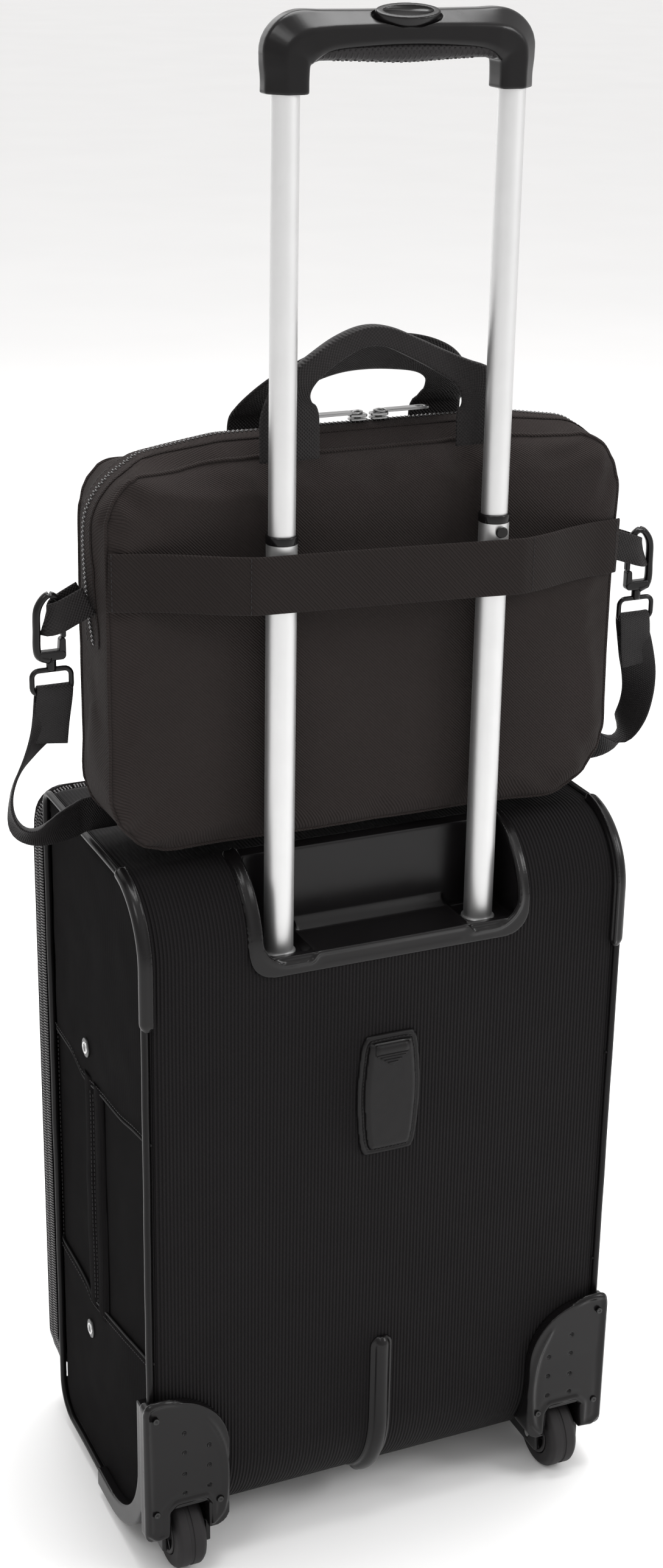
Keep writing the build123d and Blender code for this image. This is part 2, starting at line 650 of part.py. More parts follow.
def case_nodes():
    wrap = case_wrap()
    write("back_top_panel", wrap & half_space(split_height(), 600))
    write("bottom_panel", wrap & half_space(0, split_height()))
    write("side_panel_left", side_panel())
    write("side_panel_right", mirrored(side_panel()))
    write("front_rim", front_rim())
    write("back_board", back_board())
    overlays = side_overlays()
    write("side_overlays", *overlays, *[mirrored(piece) for piece in overlays])
    write("overlay_rivets", *overlay_rivets())
    write("edge_piping", edge_piping(), mirrored(edge_piping()))
    write("corner_guard_left", corner_guard())
    write("corner_guard_right", mirrored(corner_guard()))
    write("skid_bar", skid_bar())
    write("front_feet", *front_feet())
    write("top_handle", top_handle())
    write("handle_mounts", *handle_mounts())
    write("tag_holder", *tag_holder())
    write("tag_cover", tag_cover())


def lid_nodes():
    write("main_zip", main_zip())
    write("lid_panel", lid_panel())
    write("lid_pockets", *lid_pockets())
    write("lid_zips", *lid_zips())
    for name, z in POCKET_ZIPS.items():
        write(f"pocket_slider_{name}", *pocket_slider(z))
    write("main_slider_left", main_slider())
    write("main_slider_right", mirrored(main_slider()))
    write("main_pull_left", main_pull())
    write("main_pull_right", mirrored(main_pull()))


def wheel_nodes():
    write("wheel_housing_left", wheel_housing())
    write("wheel_housing_right", mirrored(wheel_housing()))
    write("wheel_axles", wheel_axle(), mirrored(wheel_axle()))
    write("housing_screws", *housing_screws())
    write("tyre_left", tyre())
    write("tyre_right", mirrored(tyre()))
    write("wheel_hub_left", wheel_hub())
    write("wheel_hub_right", mirrored(wheel_hub()))


def handle_nodes():
    write("handle_tray", handle_tray())
    write("outer_tubes", *tube_pair(OUTER_RADIUS, MIDDLE_RADIUS + RUNNING_FIT, OUTER_TUBE_Z))
    write("tube_bracket", tube_bracket())
    write("middle_tubes", *tube_pair(MIDDLE_RADIUS, INNER_RADIUS + RUNNING_FIT, MIDDLE_TUBE_Z))
    write("tube_rings", *tube_rings())
    write("lock_button", lock_button())
    write("inner_tubes", *tube_pair(INNER_RADIUS, INNER_RADIUS - TUBE_WALL, INNER_TUBE_Z))
    write("grip_shell", grip_shell())
    write("grip_insert", grip_insert())
    write("release_button", button_shape(21.0, 8.0, (1069.0, 1077.5)))


def bag_nodes():
    write("bag_body", *bag_body())
    write("trolley_strap", trolley_strap())
    write("bag_zip", bag_zip())
    write("bag_slider_left", bag_slider(-3))
    write("bag_slider_right", bag_slider(12))
    write("bag_pull_left", bag_pull(-6, -1))
    write("bag_pull_right", bag_pull(15, 1))
    write("bag_handle_rear", bag_handle(REAR_HANDLE))
    write("bag_handle_front", bag_handle(FRONT_HANDLE))
    write("bag_webbing", *bag_webbing())
    write("snap_hook_left", snap_hook())
    write("snap_hook_right", mirrored(snap_hook()))
    write("hook_gate_left", hook_gate())
    write("hook_gate_right", mirrored(hook_gate()))
    write("shoulder_strap", *shoulder_strap())


os.makedirs("parts", exist_ok=True)
case_nodes()
lid_nodes()
wheel_nodes()
handle_nodes()
bag_nodes()
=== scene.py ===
"""Looks of an upright two-wheeled case with a laptop briefcase on its handle.

It is built on the CAD frame.  Shapes are written in layout millimetres: x across, y away from the
plane of the handle tubes, z up from the floor.  at() turns them into the row frame.
"""

import math

import bmesh
import bpy
import numpy as np
from mathutils import Matrix, Vector, noise
from mathutils.bvhtree import BVHTree


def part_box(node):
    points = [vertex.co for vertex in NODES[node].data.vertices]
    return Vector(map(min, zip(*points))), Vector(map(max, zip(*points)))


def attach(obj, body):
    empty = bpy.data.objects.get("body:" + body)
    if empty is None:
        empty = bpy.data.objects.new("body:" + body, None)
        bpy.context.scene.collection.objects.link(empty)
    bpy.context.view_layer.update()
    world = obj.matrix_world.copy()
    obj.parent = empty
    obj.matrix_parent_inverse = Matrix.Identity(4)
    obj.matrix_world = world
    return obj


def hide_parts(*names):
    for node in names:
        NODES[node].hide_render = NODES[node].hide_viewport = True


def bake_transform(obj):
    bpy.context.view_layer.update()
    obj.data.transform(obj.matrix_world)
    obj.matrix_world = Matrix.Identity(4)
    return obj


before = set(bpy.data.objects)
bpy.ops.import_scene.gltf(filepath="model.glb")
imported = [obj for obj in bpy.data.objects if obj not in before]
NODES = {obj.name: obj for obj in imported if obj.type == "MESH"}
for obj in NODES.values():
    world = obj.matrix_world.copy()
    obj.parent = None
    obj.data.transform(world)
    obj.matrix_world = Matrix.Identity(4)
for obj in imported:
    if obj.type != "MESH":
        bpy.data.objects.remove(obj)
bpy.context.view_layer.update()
MM = 0.001
TUBE_Y = sum(corner.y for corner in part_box("inner_tubes")) / 2

# Driving sizes of the case, in layout millimetres
HALF_WIDTH = 176.0
SIDE_LEVEL = HALF_WIDTH - 1.2
BACK_Y = -20.0
FRONT_Y = 187.0
BOTTOM_Z = 12.0
TOP_Z = 538.0
LID_BACK = 190.6
LID_HALF = 178.0
LID_Z = (40.5, 527.5)
TUBE_X = 75.0
WHEEL = (151.5, -7.0, 28.0)
RECESS = (19.0, 480.0)
MAIN_ZIP_Y = 194.4
POCKET_ZIPS = {"upper": 496.0, "lower": 337.0}
HOUSING_FACE_Y = -27.6
TAG_BASE_Y = -20.4
TAG_COVER_Y = -23.0
LID_FACE_Y = 216.4
LID_LINING_Y = 213.0


# Placing and making meshes

def at(point):
    """A layout point in the row frame."""
    x, y, z = point
    return Vector((x * MM, TUBE_Y + y * MM, z * MM))


def layout(vector):
    """A row-frame point back in layout millimetres."""
    return np.array((vector[0] / MM, (vector[1] - TUBE_Y) / MM, vector[2] / MM))


def link(name, mesh, *materials):
    obj = bpy.data.objects.new(name, mesh)
    bpy.context.scene.collection.objects.link(obj)
    for material in materials:
        mesh.materials.append(material)
    return obj


def make(name, points, faces, *materials):
    mesh = bpy.data.meshes.new(name)
    mesh.from_pydata([at(point) for point in points], [], [tuple(map(int, face)) for face in faces])
    mesh.update()
    mesh.shade_smooth()
    return link(name, mesh, *materials)


def place(obj, body, slot, *replaced):
    """Rides on a body and stands for CAD nodes, which it hides.  The slot argument is not used."""
    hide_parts(*replaced)
    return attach(obj, body)


def settle(obj):
    """Applies every modifier and keeps the materials."""
    materials = list(obj.data.materials)
    graph = bpy.context.evaluated_depsgraph_get()
    mesh = bpy.data.meshes.new_from_object(obj.evaluated_get(graph))
    obj.modifiers.clear()
    obj.data = mesh
    if len(mesh.materials) < len(materials):
        mesh.materials.clear()
        for material in materials:
            mesh.materials.append(material)
    return obj


def modify(obj, kind, **settings):
    modifier = obj.modifiers.new(kind, kind)
    for key, value in settings.items():
        setattr(modifier, key, value)
    return obj


def copied(name, *nodes):
    """A new object with the shapes of CAD nodes."""
    mesh = bmesh.new()
    for node in nodes:
        mesh.from_mesh(NODES[node].data)
    bmesh.ops.remove_doubles(mesh, verts=mesh.verts, dist=1e-6)
    data = bpy.data.meshes.new(name)
    mesh.to_mesh(data)
    mesh.free()
    return link(name, data)


def joined(name, pieces, *materials):
    """One object out of several, which are used up."""
    mesh = bmesh.new()
    for piece in pieces:
        mesh.from_mesh(piece.data)
        bpy.data.objects.remove(piece)
    data = bpy.data.meshes.new(name)
    mesh.to_mesh(data)
    mesh.free()
    obj = link(name, data, *materials)
    for polygon in data.polygons:
        polygon.material_index = 0
    return obj


def clad(obj, look):
    """Gives a mesh one smooth finish."""
    obj.data.materials.clear()
    obj.data.materials.append(LOOK[look])
    obj.data.shade_smooth()
    return obj


def carve(obj, *cutters):
    for cutter in cutters:
        modify(obj, "BOOLEAN", operation="DIFFERENCE", object=cutter, solver="EXACT")
        settle(obj)
        bpy.data.objects.remove(cutter)
    return obj


def mould(obj, look, voxel, rounds=4):
    """Turns sharp solids into one moulding with soft edges."""
    modify(obj, "REMESH", mode="VOXEL", voxel_size=voxel * MM, use_smooth_shade=True)
    return clad(eased(obj, rounds), look)


def eased(obj, rounds):
    return settle(modify(obj, "SMOOTH", factor=0.5, iterations=rounds))


def doubled(obj, look):
    """Subdivides a soft shape once and gives it a finish."""
    return clad(settle(modify(obj, "SUBSURF", levels=1, render_levels=1)), look)


def turned(obj, spot, *turns):
    """Turns a mesh built at the layout origin by (angle, axis) in order, then carries it."""
    move = Matrix.Translation(at(spot))
    for angle, axis in reversed(turns):
        move = move @ Matrix.Rotation(angle, 4, axis)
    obj.data.transform(move @ Matrix.Translation(-at((0, 0, 0))))
    return obj


def mirrored(obj, name):
    """The same piece on the other side of x = 0."""
    mesh = obj.data.copy()
    mesh.transform(Matrix.Scale(-1, 4, (1, 0, 0)))
    mesh.flip_normals()
    return link(name, mesh)


# Outlines and paths

def rounded(corners, step=8.0):
    """A closed outline from (u, v, corner radius)."""
    points = []
    count = len(corners)
    for index, (u, v, radius) in enumerate(corners):
        here = np.array((u, v), float)
        before = np.array(corners[index - 1][:2], float) - here
        after = np.array(corners[(index + 1) % count][:2], float) - here
        before /= np.linalg.norm(before)
        after /= np.linalg.norm(after)
        if radius <= 0:
            points.append(here)
            continue
        angle = math.acos(float(np.clip(before @ after, -1, 1)))
        middle = before + after
        centre = here + middle / np.linalg.norm(middle) * radius / math.sin(angle / 2)
        start = here + before * radius / math.tan(angle / 2) - centre
        end = here + after * radius / math.tan(angle / 2) - centre
        turn = math.copysign(math.pi - angle, start[0] * end[1] - start[1] * end[0])
        count_steps = max(2, math.ceil(math.degrees(abs(turn)) / step))
        for turned in np.linspace(0, turn, count_steps + 1):
            c, s = math.cos(turned), math.sin(turned)
            points.append(centre + (start[0] * c - start[1] * s, start[0] * s + start[1] * c))
    return np.array(points)


def box_outline(u, v, radius):
    return rounded([(u[0], v[0], radius), (u[1], v[0], radius), (u[1], v[1], radius),
                    (u[0], v[1], radius)])


def at_depth(ring, y):
    """An (x, z) line as layout points at one y."""
    return np.column_stack([ring[:, 0], np.full(len(ring), y), ring[:, 1]])


def across_x(path):
    """The x direction at every station of a path."""
    return np.broadcast_to((1.0, 0, 0), path.shape)


def along_y(path):
    return np.broadcast_to((0, 1.0, 0), path.shape)


def spaced(path, step, closed=False):
    """Points at even distances along a path of any dimension."""
    path = np.asarray(path, float)
    if closed:
        path = np.vstack([path, path[:1]])
    marks = np.r_[0, np.cumsum(np.linalg.norm(np.diff(path, axis=0), axis=1))]
    count = max(2, round(marks[-1] / step))
    wanted = np.linspace(0, marks[-1], count + 1)
    points = np.column_stack([np.interp(wanted, marks, path[:, k]) for k in range(path.shape[1])])
    return points[:-1] if closed else points


def flowing(controls, step, closed=False):
    """An even, smooth path through control points of any dimension."""
    p = np.asarray(controls, float)
    if closed:
        p = np.vstack([p[-1], p, p[0], p[1]])
    else:
        p = np.vstack([2 * p[0] - p[1], p, 2 * p[-1] - p[-2]])
    fine = []
    for a, b, c, d in zip(p[:-3], p[1:-2], p[2:-1], p[3:]):
        for t in np.linspace(0, 1, 12, endpoint=False):
            fine.append(0.5 * (2 * b + (c - a) * t + (2 * a - 5 * b + 4 * c - d) * t * t
                               + (3 * b - a - 3 * c + d) * t ** 3))
    if closed:
        return spaced(fine, step, True)
    return spaced(fine + [p[-2]], step)


def unit(vectors):
    return vectors / np.maximum(np.linalg.norm(vectors, axis=-1, keepdims=True), 1e-9)


def circle(radius, sides=10):
    turn = np.linspace(0, 2 * math.pi, sides, endpoint=False)
    return np.column_stack([np.cos(turn), np.sin(turn)]) * radius


def flat(width, thick, columns=8):
    """Section of a woven strap, with rounded edges."""
    half, edge = width / 2 - thick / 2, thick / 2
    across = np.linspace(-half, half, columns)
    top = [(u, edge) for u in across]
    bottom = [(u, -edge) for u in across[::-1]]
    cap = [(half + edge * math.cos(a), edge * math.sin(a)) for a in (0.8, 0, -0.8)]
    other = [(-half - edge * math.cos(a), -edge * math.sin(a)) for a in (0.8, 0, -0.8)]
    return np.array(top + cap + bottom + other)


def frames(path, sides=None, closed=False):
    """Tangent, side and normal of every station."""
    if closed:
        tangent = unit(np.roll(path, -1, 0) - np.roll(path, 1, 0))
    else:
        tangent = unit(np.gradient(path, axis=0))
    if sides is None:
        start = np.array((0, 0, 1.0)) if abs(tangent[0][2]) < 0.9 else np.array((1.0, 0, 0))
        side = np.cross(tangent[0], start)
        sides = []
        for direction in tangent:
            side = side - direction * (side @ direction)
            side = side / np.linalg.norm(side)
            sides.append(side)
    sides = np.asarray(sides, float)
    sides = unit(sides - tangent * np.sum(sides * tangent, axis=1, keepdims=True))
    return tangent, sides, np.cross(tangent, sides)


def sweep(name, path, section, material, sides=None, closed=False, scale=None):
    """Carries a section along a path.  The u, v map holds metres along and across."""
    path = np.asarray(path, float)
    count, around = len(path), len(section)
    tangent, side, normal = frames(path, sides, closed)
    scale = np.ones((count, 2)) if scale is None else np.asarray(scale, float).reshape(count, -1)
    wide = section[None, :, 0] * scale[:, :1]
    high = section[None, :, 1] * scale[:, -1:]
    points = path[:, None] + wide[..., None] * side[:, None] + high[..., None] * normal[:, None]
    index = np.arange(count * around).reshape(count, around)
    faces = []
    for i in range(count if closed else count - 1):
        a, b = index[i], index[(i + 1) % count]
        faces += list(zip(a, np.roll(a, -1), np.roll(b, -1), b))
    if not closed:
        faces += [tuple(index[0][::-1]), tuple(index[-1])]
    obj = make(name, points.reshape(-1, 3), faces, material)
    along = np.r_[0, np.cumsum(np.linalg.norm(np.diff(path, axis=0), axis=1))] * MM
    spots = np.column_stack([np.repeat(along, around), (wide * MM).ravel()])
    layer = obj.data.uv_layers.new(name="cloth")
    corner = np.zeros(len(obj.data.loops), int)
    obj.data.loops.foreach_get("vertex_index", corner)
    layer.data.foreach_set("uv", spots[corner].ravel())
    outward(obj)
    return obj


def outward(obj):
    mesh = bmesh.new()
    mesh.from_mesh(obj.data)
    bmesh.ops.recalc_face_normals(mesh, faces=mesh.faces)
    mesh.to_mesh(obj.data)
    mesh.free()
    return obj


def prism(name, shape, axis, span, material, bevel=0.0, segments=2):
    """A flat outline carried along an axis, with rounded rims."""
    count = len(shape)
    points = []
    for level in span:
        for u, v in shape:
            points.append({"x": (level, u, v), "y": (u, level, v), "z": (u, v, level)}[axis])
    faces = [tuple(range(count))[::-1], tuple(range(count, 2 * count))]
    for i in range(count):
        j = (i + 1) % count
        faces.append((i, j, count + j, count + i))
    obj = outward(make(name, points, faces, material))
    if bevel:
        modify(obj, "BEVEL", width=bevel * MM, segments=segments, limit_method="ANGLE",
               angle_limit=0.7)
        modify(obj, "WEIGHTED_NORMAL", keep_sharp=True)
        settle(obj)
    return obj


def beads(name, centres, long_axes, up_axes, half_length, radius, material):
    """Many small rounded bars: zip coils and stitches."""
    centres, long_axes, up_axes = (np.asarray(a, float) for a in (centres, long_axes, up_axes))
    long_axes = unit(np.broadcast_to(long_axes, centres.shape))
    up_axes = unit(np.broadcast_to(up_axes, centres.shape))
    third = np.cross(long_axes, up_axes)
    rings = []
    for share in (-0.75, 0.75):
        for a in (0.785, 2.356, 3.927, 5.498):
            rings.append((share * half_length, radius * math.cos(a), radius * math.sin(a)))
    rings += [(-half_length, 0, 0), (half_length, 0, 0)]
    local = np.array(rings)
    points = (centres[:, None] + local[None, :, :1] * long_axes[:, None]
              + local[None, :, 1:2] * up_axes[:, None] + local[None, :, 2:] * third[:, None])
    pattern = [(i, (i + 1) % 4, 4 + (i + 1) % 4, 4 + i) for i in range(4)]
    pattern += [((i + 1) % 4, i, 8) for i in range(4)]
    pattern += [(4 + i, 4 + (i + 1) % 4, 9) for i in range(4)]
    faces = [tuple(10 * k + v for v in face) for k in range(len(centres)) for face in pattern]
    return make(name, points.reshape(-1, 3), faces, material)


def stitches(name, path, up, material, closed=False, pitch=3.6, radius=0.32):
    """A row of thread stitches along a path."""
    points = spaced(path, pitch, closed)
    tangent = frames(points, closed=closed)[0]
    up = np.broadcast_to(np.asarray(up, float), points.shape)
    return beads(name, points, tangent, up, pitch * 0.36, radius, material)


# Cloth panels

def inside(shape, points):
    """Which points lie inside a closed outline."""
    x, y = points[:, 0], points[:, 1]
    hit = np.zeros(len(points), bool)
    for (ax, ay), (bx, by) in zip(shape, np.roll(shape, -1, 0)):
        crosses = (ay > y) != (by > y)
        if not crosses.any():
            continue
        hit ^= crosses & (x < (bx - ax) * (y - ay) / ((by - ay) if by != ay else 1e-9) + ax)
    return hit


def nearest(shape, points):
    """Closest point of a closed outline to each point, and its distance."""
    best = np.full(len(points), 1e9)
    spot = points.copy()
    for a, b in zip(shape, np.roll(shape, -1, 0)):
        run = b - a
        share = np.clip((points - a) @ run / max(run @ run, 1e-9), 0, 1)
        foot = a + share[:, None] * run
        gap = np.linalg.norm(points - foot, axis=1)
        closer = gap < best
        best[closer] = gap[closer]
        spot[closer] = foot[closer]
    return spot, best


def patch(name, shape, plane, cell, materials, holes=(), relief=None, thick=1.6):
    """A cloth panel that fills a flat outline.

    plane(u, v, height) gives layout points.  relief(u, v, edge) gives the height of the cloth over
    the plane, where edge is the distance from the outline.
    """
    low, high = shape.min(0), shape.max(0)
    counts = np.maximum(2, np.ceil((high - low) / cell).astype(int))
    u = np.linspace(low[0], high[0], counts[0] + 1)
    v = np.linspace(low[1], high[1], counts[1] + 1)
    grid = np.stack(np.meshgrid(u, v, indexing="ij"), -1)
    centre = (grid[:-1, :-1] + grid[1:, 1:]) / 2
    keep = inside(shape, centre.reshape(-1, 2))
    for hole in holes:
        keep &= ~inside(hole, centre.reshape(-1, 2))
    keep = keep.reshape(centre.shape[:2])
    index = np.arange(grid.shape[0] * grid.shape[1]).reshape(grid.shape[:2])
    quads = np.stack([index[:-1, :-1], index[1:, :-1], index[1:, 1:], index[:-1, 1:]], -1)[keep]
    used, faces = np.unique(quads, return_inverse=True)
    faces = faces.reshape(quads.shape)
    spots = grid.reshape(-1, 2)[used]
    border = np.bincount(faces.ravel(), minlength=len(used)) < 4
    rims = [shape, *holes]
    feet = [nearest(rim, spots[border]) for rim in rims]
    pick = np.argmin([gap for foot, gap in feet], axis=0)
    spots[border] = np.array([foot for foot, gap in feet])[pick, np.arange(border.sum())]
    edge = nearest(shape, spots)[1]
    height = relief(spots[:, 0], spots[:, 1], edge) if relief else np.zeros(len(spots))
    points = plane(spots[:, 0], spots[:, 1], height)
    probe = plane(spots[:, 0], spots[:, 1], height + 1) - points
    a, b, c = (points[faces[0][k]] for k in range(3))
    if np.cross(b - a, c - a) @ probe[faces[0][0]] < 0:
        faces = faces[:, ::-1]
    obj = make(name, points, faces, *materials)
    if thick:
        modify(obj, "SOLIDIFY", thickness=thick * MM, offset=-1, material_offset=len(materials) - 1)
        settle(obj)
    return obj


def rear_plane(level):
    """Cloth that rises to the rear of a plane of constant y."""
    return lambda x, z, height: np.column_stack([x, level - height, z])


def front_plane(level):
    return lambda x, z, height: np.column_stack([x, level + height, z])


def ripple(u, v, size, depth, seed=0.0):
    """Slow unevenness of cloth."""
    return depth * np.array([noise.noise((a / size, b / size, seed)) for a, b in zip(u, v)])


def cling(path, obj, lift=0.0):
    """Moves path points onto an object's surface.  Returns the points and the surface normals."""
    tree = BVHTree.FromPolygons([v.co for v in obj.data.vertices],
                                [p.vertices for p in obj.data.polygons])
    spots, normals = [], []
    for point in path:
        spot, normal, face, gap = tree.find_nearest(at(point))
        spots.append(layout(spot) + np.array(normal) * lift)
        normals.append(np.array(normal))
    return np.array(spots), np.array(normals)


# Finishes

class Finish:
    """A procedural material.  Every method that makes a value returns its socket."""

    def __init__(self, name, source="Object", **fixed):
        self.material = bpy.data.materials.new(name)
        self.material.use_nodes = True
        self.nodes = self.material.node_tree.nodes
        self.links = self.material.node_tree.links
        self.surface = self.nodes["Principled BSDF"]
        for socket, value in fixed.items():
            self.surface.inputs[socket.replace("_", " ")].default_value = value
        self.place = self.nodes.new("ShaderNodeTexCoord").outputs[source]
        split = self.nodes.new("ShaderNodeSeparateXYZ")
        self.links.new(self.place, split.inputs[0])
        self.x, self.y, self.z = split.outputs
        self.relief = None

    def join(self, value, socket):
        if isinstance(value, bpy.types.NodeSocket):
            self.links.new(value, socket)
        else:
            socket.default_value = value

    def math(self, operation, first, second=0.0):
        node = self.nodes.new("ShaderNodeMath")
        node.operation = operation
        self.join(first, node.inputs[0])
        self.join(second, node.inputs[1])
        return node.outputs[0]

    def wave(self, value, pitch):
        """A sine of one period every pitch millimetres."""
        return self.math("SINE", self.math("MULTIPLY", value, 2 * math.pi / (pitch * MM)))

    def total(self, *values):
        result = values[0]
        for value in values[1:]:
            result = self.math("ADD", result, value)
        return result

    def cloud(self, size, detail=3.0, stretch=(1, 1, 1)):
        """Noise whose features are about size millimetres across."""
        mapping = self.nodes.new("ShaderNodeMapping")
        mapping.inputs["Scale"].default_value = stretch
        self.links.new(self.place, mapping.inputs["Vector"])
        node = self.nodes.new("ShaderNodeTexNoise")
        node.inputs["Scale"].default_value = 1 / (size * MM)
        node.inputs["Detail"].default_value = detail
        self.links.new(mapping.outputs["Vector"], node.inputs["Vector"])
        return node.outputs["Fac"]

    def span(self, value, low, high, start=0.0, end=1.0):
        node = self.nodes.new("ShaderNodeMapRange")
        self.join(value, node.inputs["Value"])
        node.inputs["From Min"].default_value = start
        node.inputs["From Max"].default_value = end
        node.inputs["To Min"].default_value = low
        node.inputs["To Max"].default_value = high
        return node.outputs["Result"]

    def colour(self, dark, light, factor):
        node = self.nodes.new("ShaderNodeMix")
        node.data_type = "RGBA"
        self.join(factor, node.inputs["Factor"])
        colours = [socket for socket in node.inputs if socket.type == "RGBA"]
        colours[0].default_value = (*dark, 1)
        colours[1].default_value = (*light, 1)
        result = [socket for socket in node.outputs if socket.type == "RGBA"][0]
        self.links.new(result, self.surface.inputs["Base Color"])
        return self

    def rough(self, low, high, factor):
        self.links.new(self.span(factor, low, high), self.surface.inputs["Roughness"])
        return self

    def bump(self, height, depth, strength=1.0):
        """Relief of depth millimetres; calls stack."""
        node = self.nodes.new("ShaderNodeBump")
        node.inputs["Distance"].default_value = depth * MM
        node.inputs["Strength"].default_value = strength
        self.join(height, node.inputs["Height"])
        if self.relief is not None:
            self.links.new(self.relief, node.inputs["Normal"])
        self.relief = node.outputs["Normal"]
        self.links.new(self.relief, self.surface.inputs["Normal"])
        return self


def grey(level, warmth=1.025, green=0.92):
    return (level * warmth, level * green, level / warmth)


def ribbed():
    """Cloth with fine raised ribs that run up the back and over the top."""
    f = Finish("ribbed_cloth", Sheen_Weight=0.01, Sheen_Roughness=0.5, Specular_IOR_Level=0.06)
    rib = f.wave(f.x, 2.6)
    thread = f.wave(f.total(f.y, f.z), 1.0)
    f.colour(grey(0.0040, 1.02), grey(0.0105, 1.02),
             f.total(f.span(rib, 0.0, 0.8, -1, 1), f.span(f.cloud(45), 0, 0.25)))
    f.rough(0.52, 0.68, f.cloud(30))
    f.bump(rib, 0.5, 0.8).bump(thread, 0.12, 0.5)
    return f.material


def woven(name, level, pitch, depth=0.25, warmth=1.02, roughness=0.8):
    """Plain weave seen from any side."""
    f = Finish(name, Specular_IOR_Level=0.02)
    one = f.wave(f.total(f.x, f.z), pitch * 1.41)
    two = f.wave(f.math("SUBTRACT", f.total(f.x, f.y), f.z), pitch * 1.41)
    weave = f.math("MULTIPLY", one, two)
    f.colour(grey(level * 0.7, warmth), grey(level * 1.35, warmth),
             f.total(f.span(weave, 0.1, 0.6, -1, 1), f.span(f.cloud(60), -0.1, 0.4)))
    f.rough(roughness - 0.08, roughness + 0.05, f.cloud(25))
    f.bump(weave, depth, 0.6).bump(f.cloud(3.0), 0.15, 0.4)
    return f.material


def twill(name, level, pitch, depth=0.3, warmth=1.0, source="Object", sheen=0.03):
    """Diagonal twill."""
    f = Finish(name, source, Sheen_Weight=sheen, Sheen_Roughness=0.5, Specular_IOR_Level=0.07)
    line = f.wave(f.total(f.x, f.y, f.z), pitch * 1.41)
    cross = f.wave(f.math("SUBTRACT", f.total(f.x, f.y), f.z), pitch * 0.9)
    weave = f.total(line, f.math("MULTIPLY", cross, 0.35))
    f.colour(grey(level * 0.6, warmth), grey(level * 1.4, warmth),
             f.total(f.span(weave, 0.1, 0.7, -1.3, 1.3),
                     f.span(f.cloud(0.02 if source == "UV" else 70), -0.1, 0.3)))
    f.rough(0.74, 0.88, f.cloud(20))
    f.bump(weave, depth, 0.7)
    return f.material


def webbing(name, level, along, across, depth=0.35, roughness=0.6, warmth=1.0):
    """Basket weave that follows the strap."""
    f = Finish(name, "UV", Sheen_Weight=0.03, Sheen_Roughness=0.4, Specular_IOR_Level=0.2)
    weave = f.math("MULTIPLY", f.wave(f.x, along), f.wave(f.y, across))
    cord = f.wave(f.y, across / 2)
    f.colour(grey(level * 0.5, warmth), grey(level * 1.5, warmth), f.span(weave, 0.0, 1.0, -1, 1))
    f.rough(roughness - 0.1, roughness + 0.1, f.cloud(8))
    f.bump(weave, depth, 0.8).bump(cord, depth * 0.3, 0.5)
    return f.material


def plastic(name, level, low, high, grain=0.06, size=0.9, coat=0.0, specular=0.3, green=0.92):
    """Moulded plastic or rubber with a faint grain and a little handling wear."""
    f = Finish(name, Coat_Weight=coat, Coat_Roughness=0.25, Specular_IOR_Level=specular)
    f.colour(grey(level * 0.85, green=green), grey(level * 1.3, green=green), f.cloud(35))
    f.rough(low, high, f.cloud(14, 5))
    f.bump(f.cloud(size, 2), grain, 0.5).bump(f.cloud(22, 1), 0.25, 0.15)
    return f.material


def metal(name, level, low, high, stretch=(1, 1, 1), grain=0.02, warmth=1.0):
    f = Finish(name, Metallic=1.0)
    f.colour(grey(level * 0.92, warmth, 1.0), grey(level, warmth, 1.0), f.cloud(20))
    f.rough(low, high, f.cloud(1.5, 3, stretch))
    f.bump(f.cloud(0.8, 2, stretch), grain, 0.4)
    return f.material


def leather():
    f = Finish("tag_leather", Specular_IOR_Level=0.2)
    f.colour(grey(0.0032), grey(0.0068), f.cloud(8))
    f.rough(0.34, 0.5, f.cloud(6, 5))
    f.bump(f.cloud(1.3, 4), 0.18, 0.6)
    return f.material


def dotted_rubber():
    """Soft pad under the grip, with small raised dots."""
    f = Finish("soft_grip", Specular_IOR_Level=0.25)
    dots = f.math("MULTIPLY", f.wave(f.x, 3.6), f.wave(f.total(f.y, f.z), 3.6))
    raised = f.math("MAXIMUM", f.math("SUBTRACT", dots, 0.2), 0.0)
    f.colour(grey(0.009), grey(0.016), f.cloud(20))
    f.rough(0.5, 0.65, f.cloud(10))
    f.bump(raised, 0.7, 0.9)
    return f.material


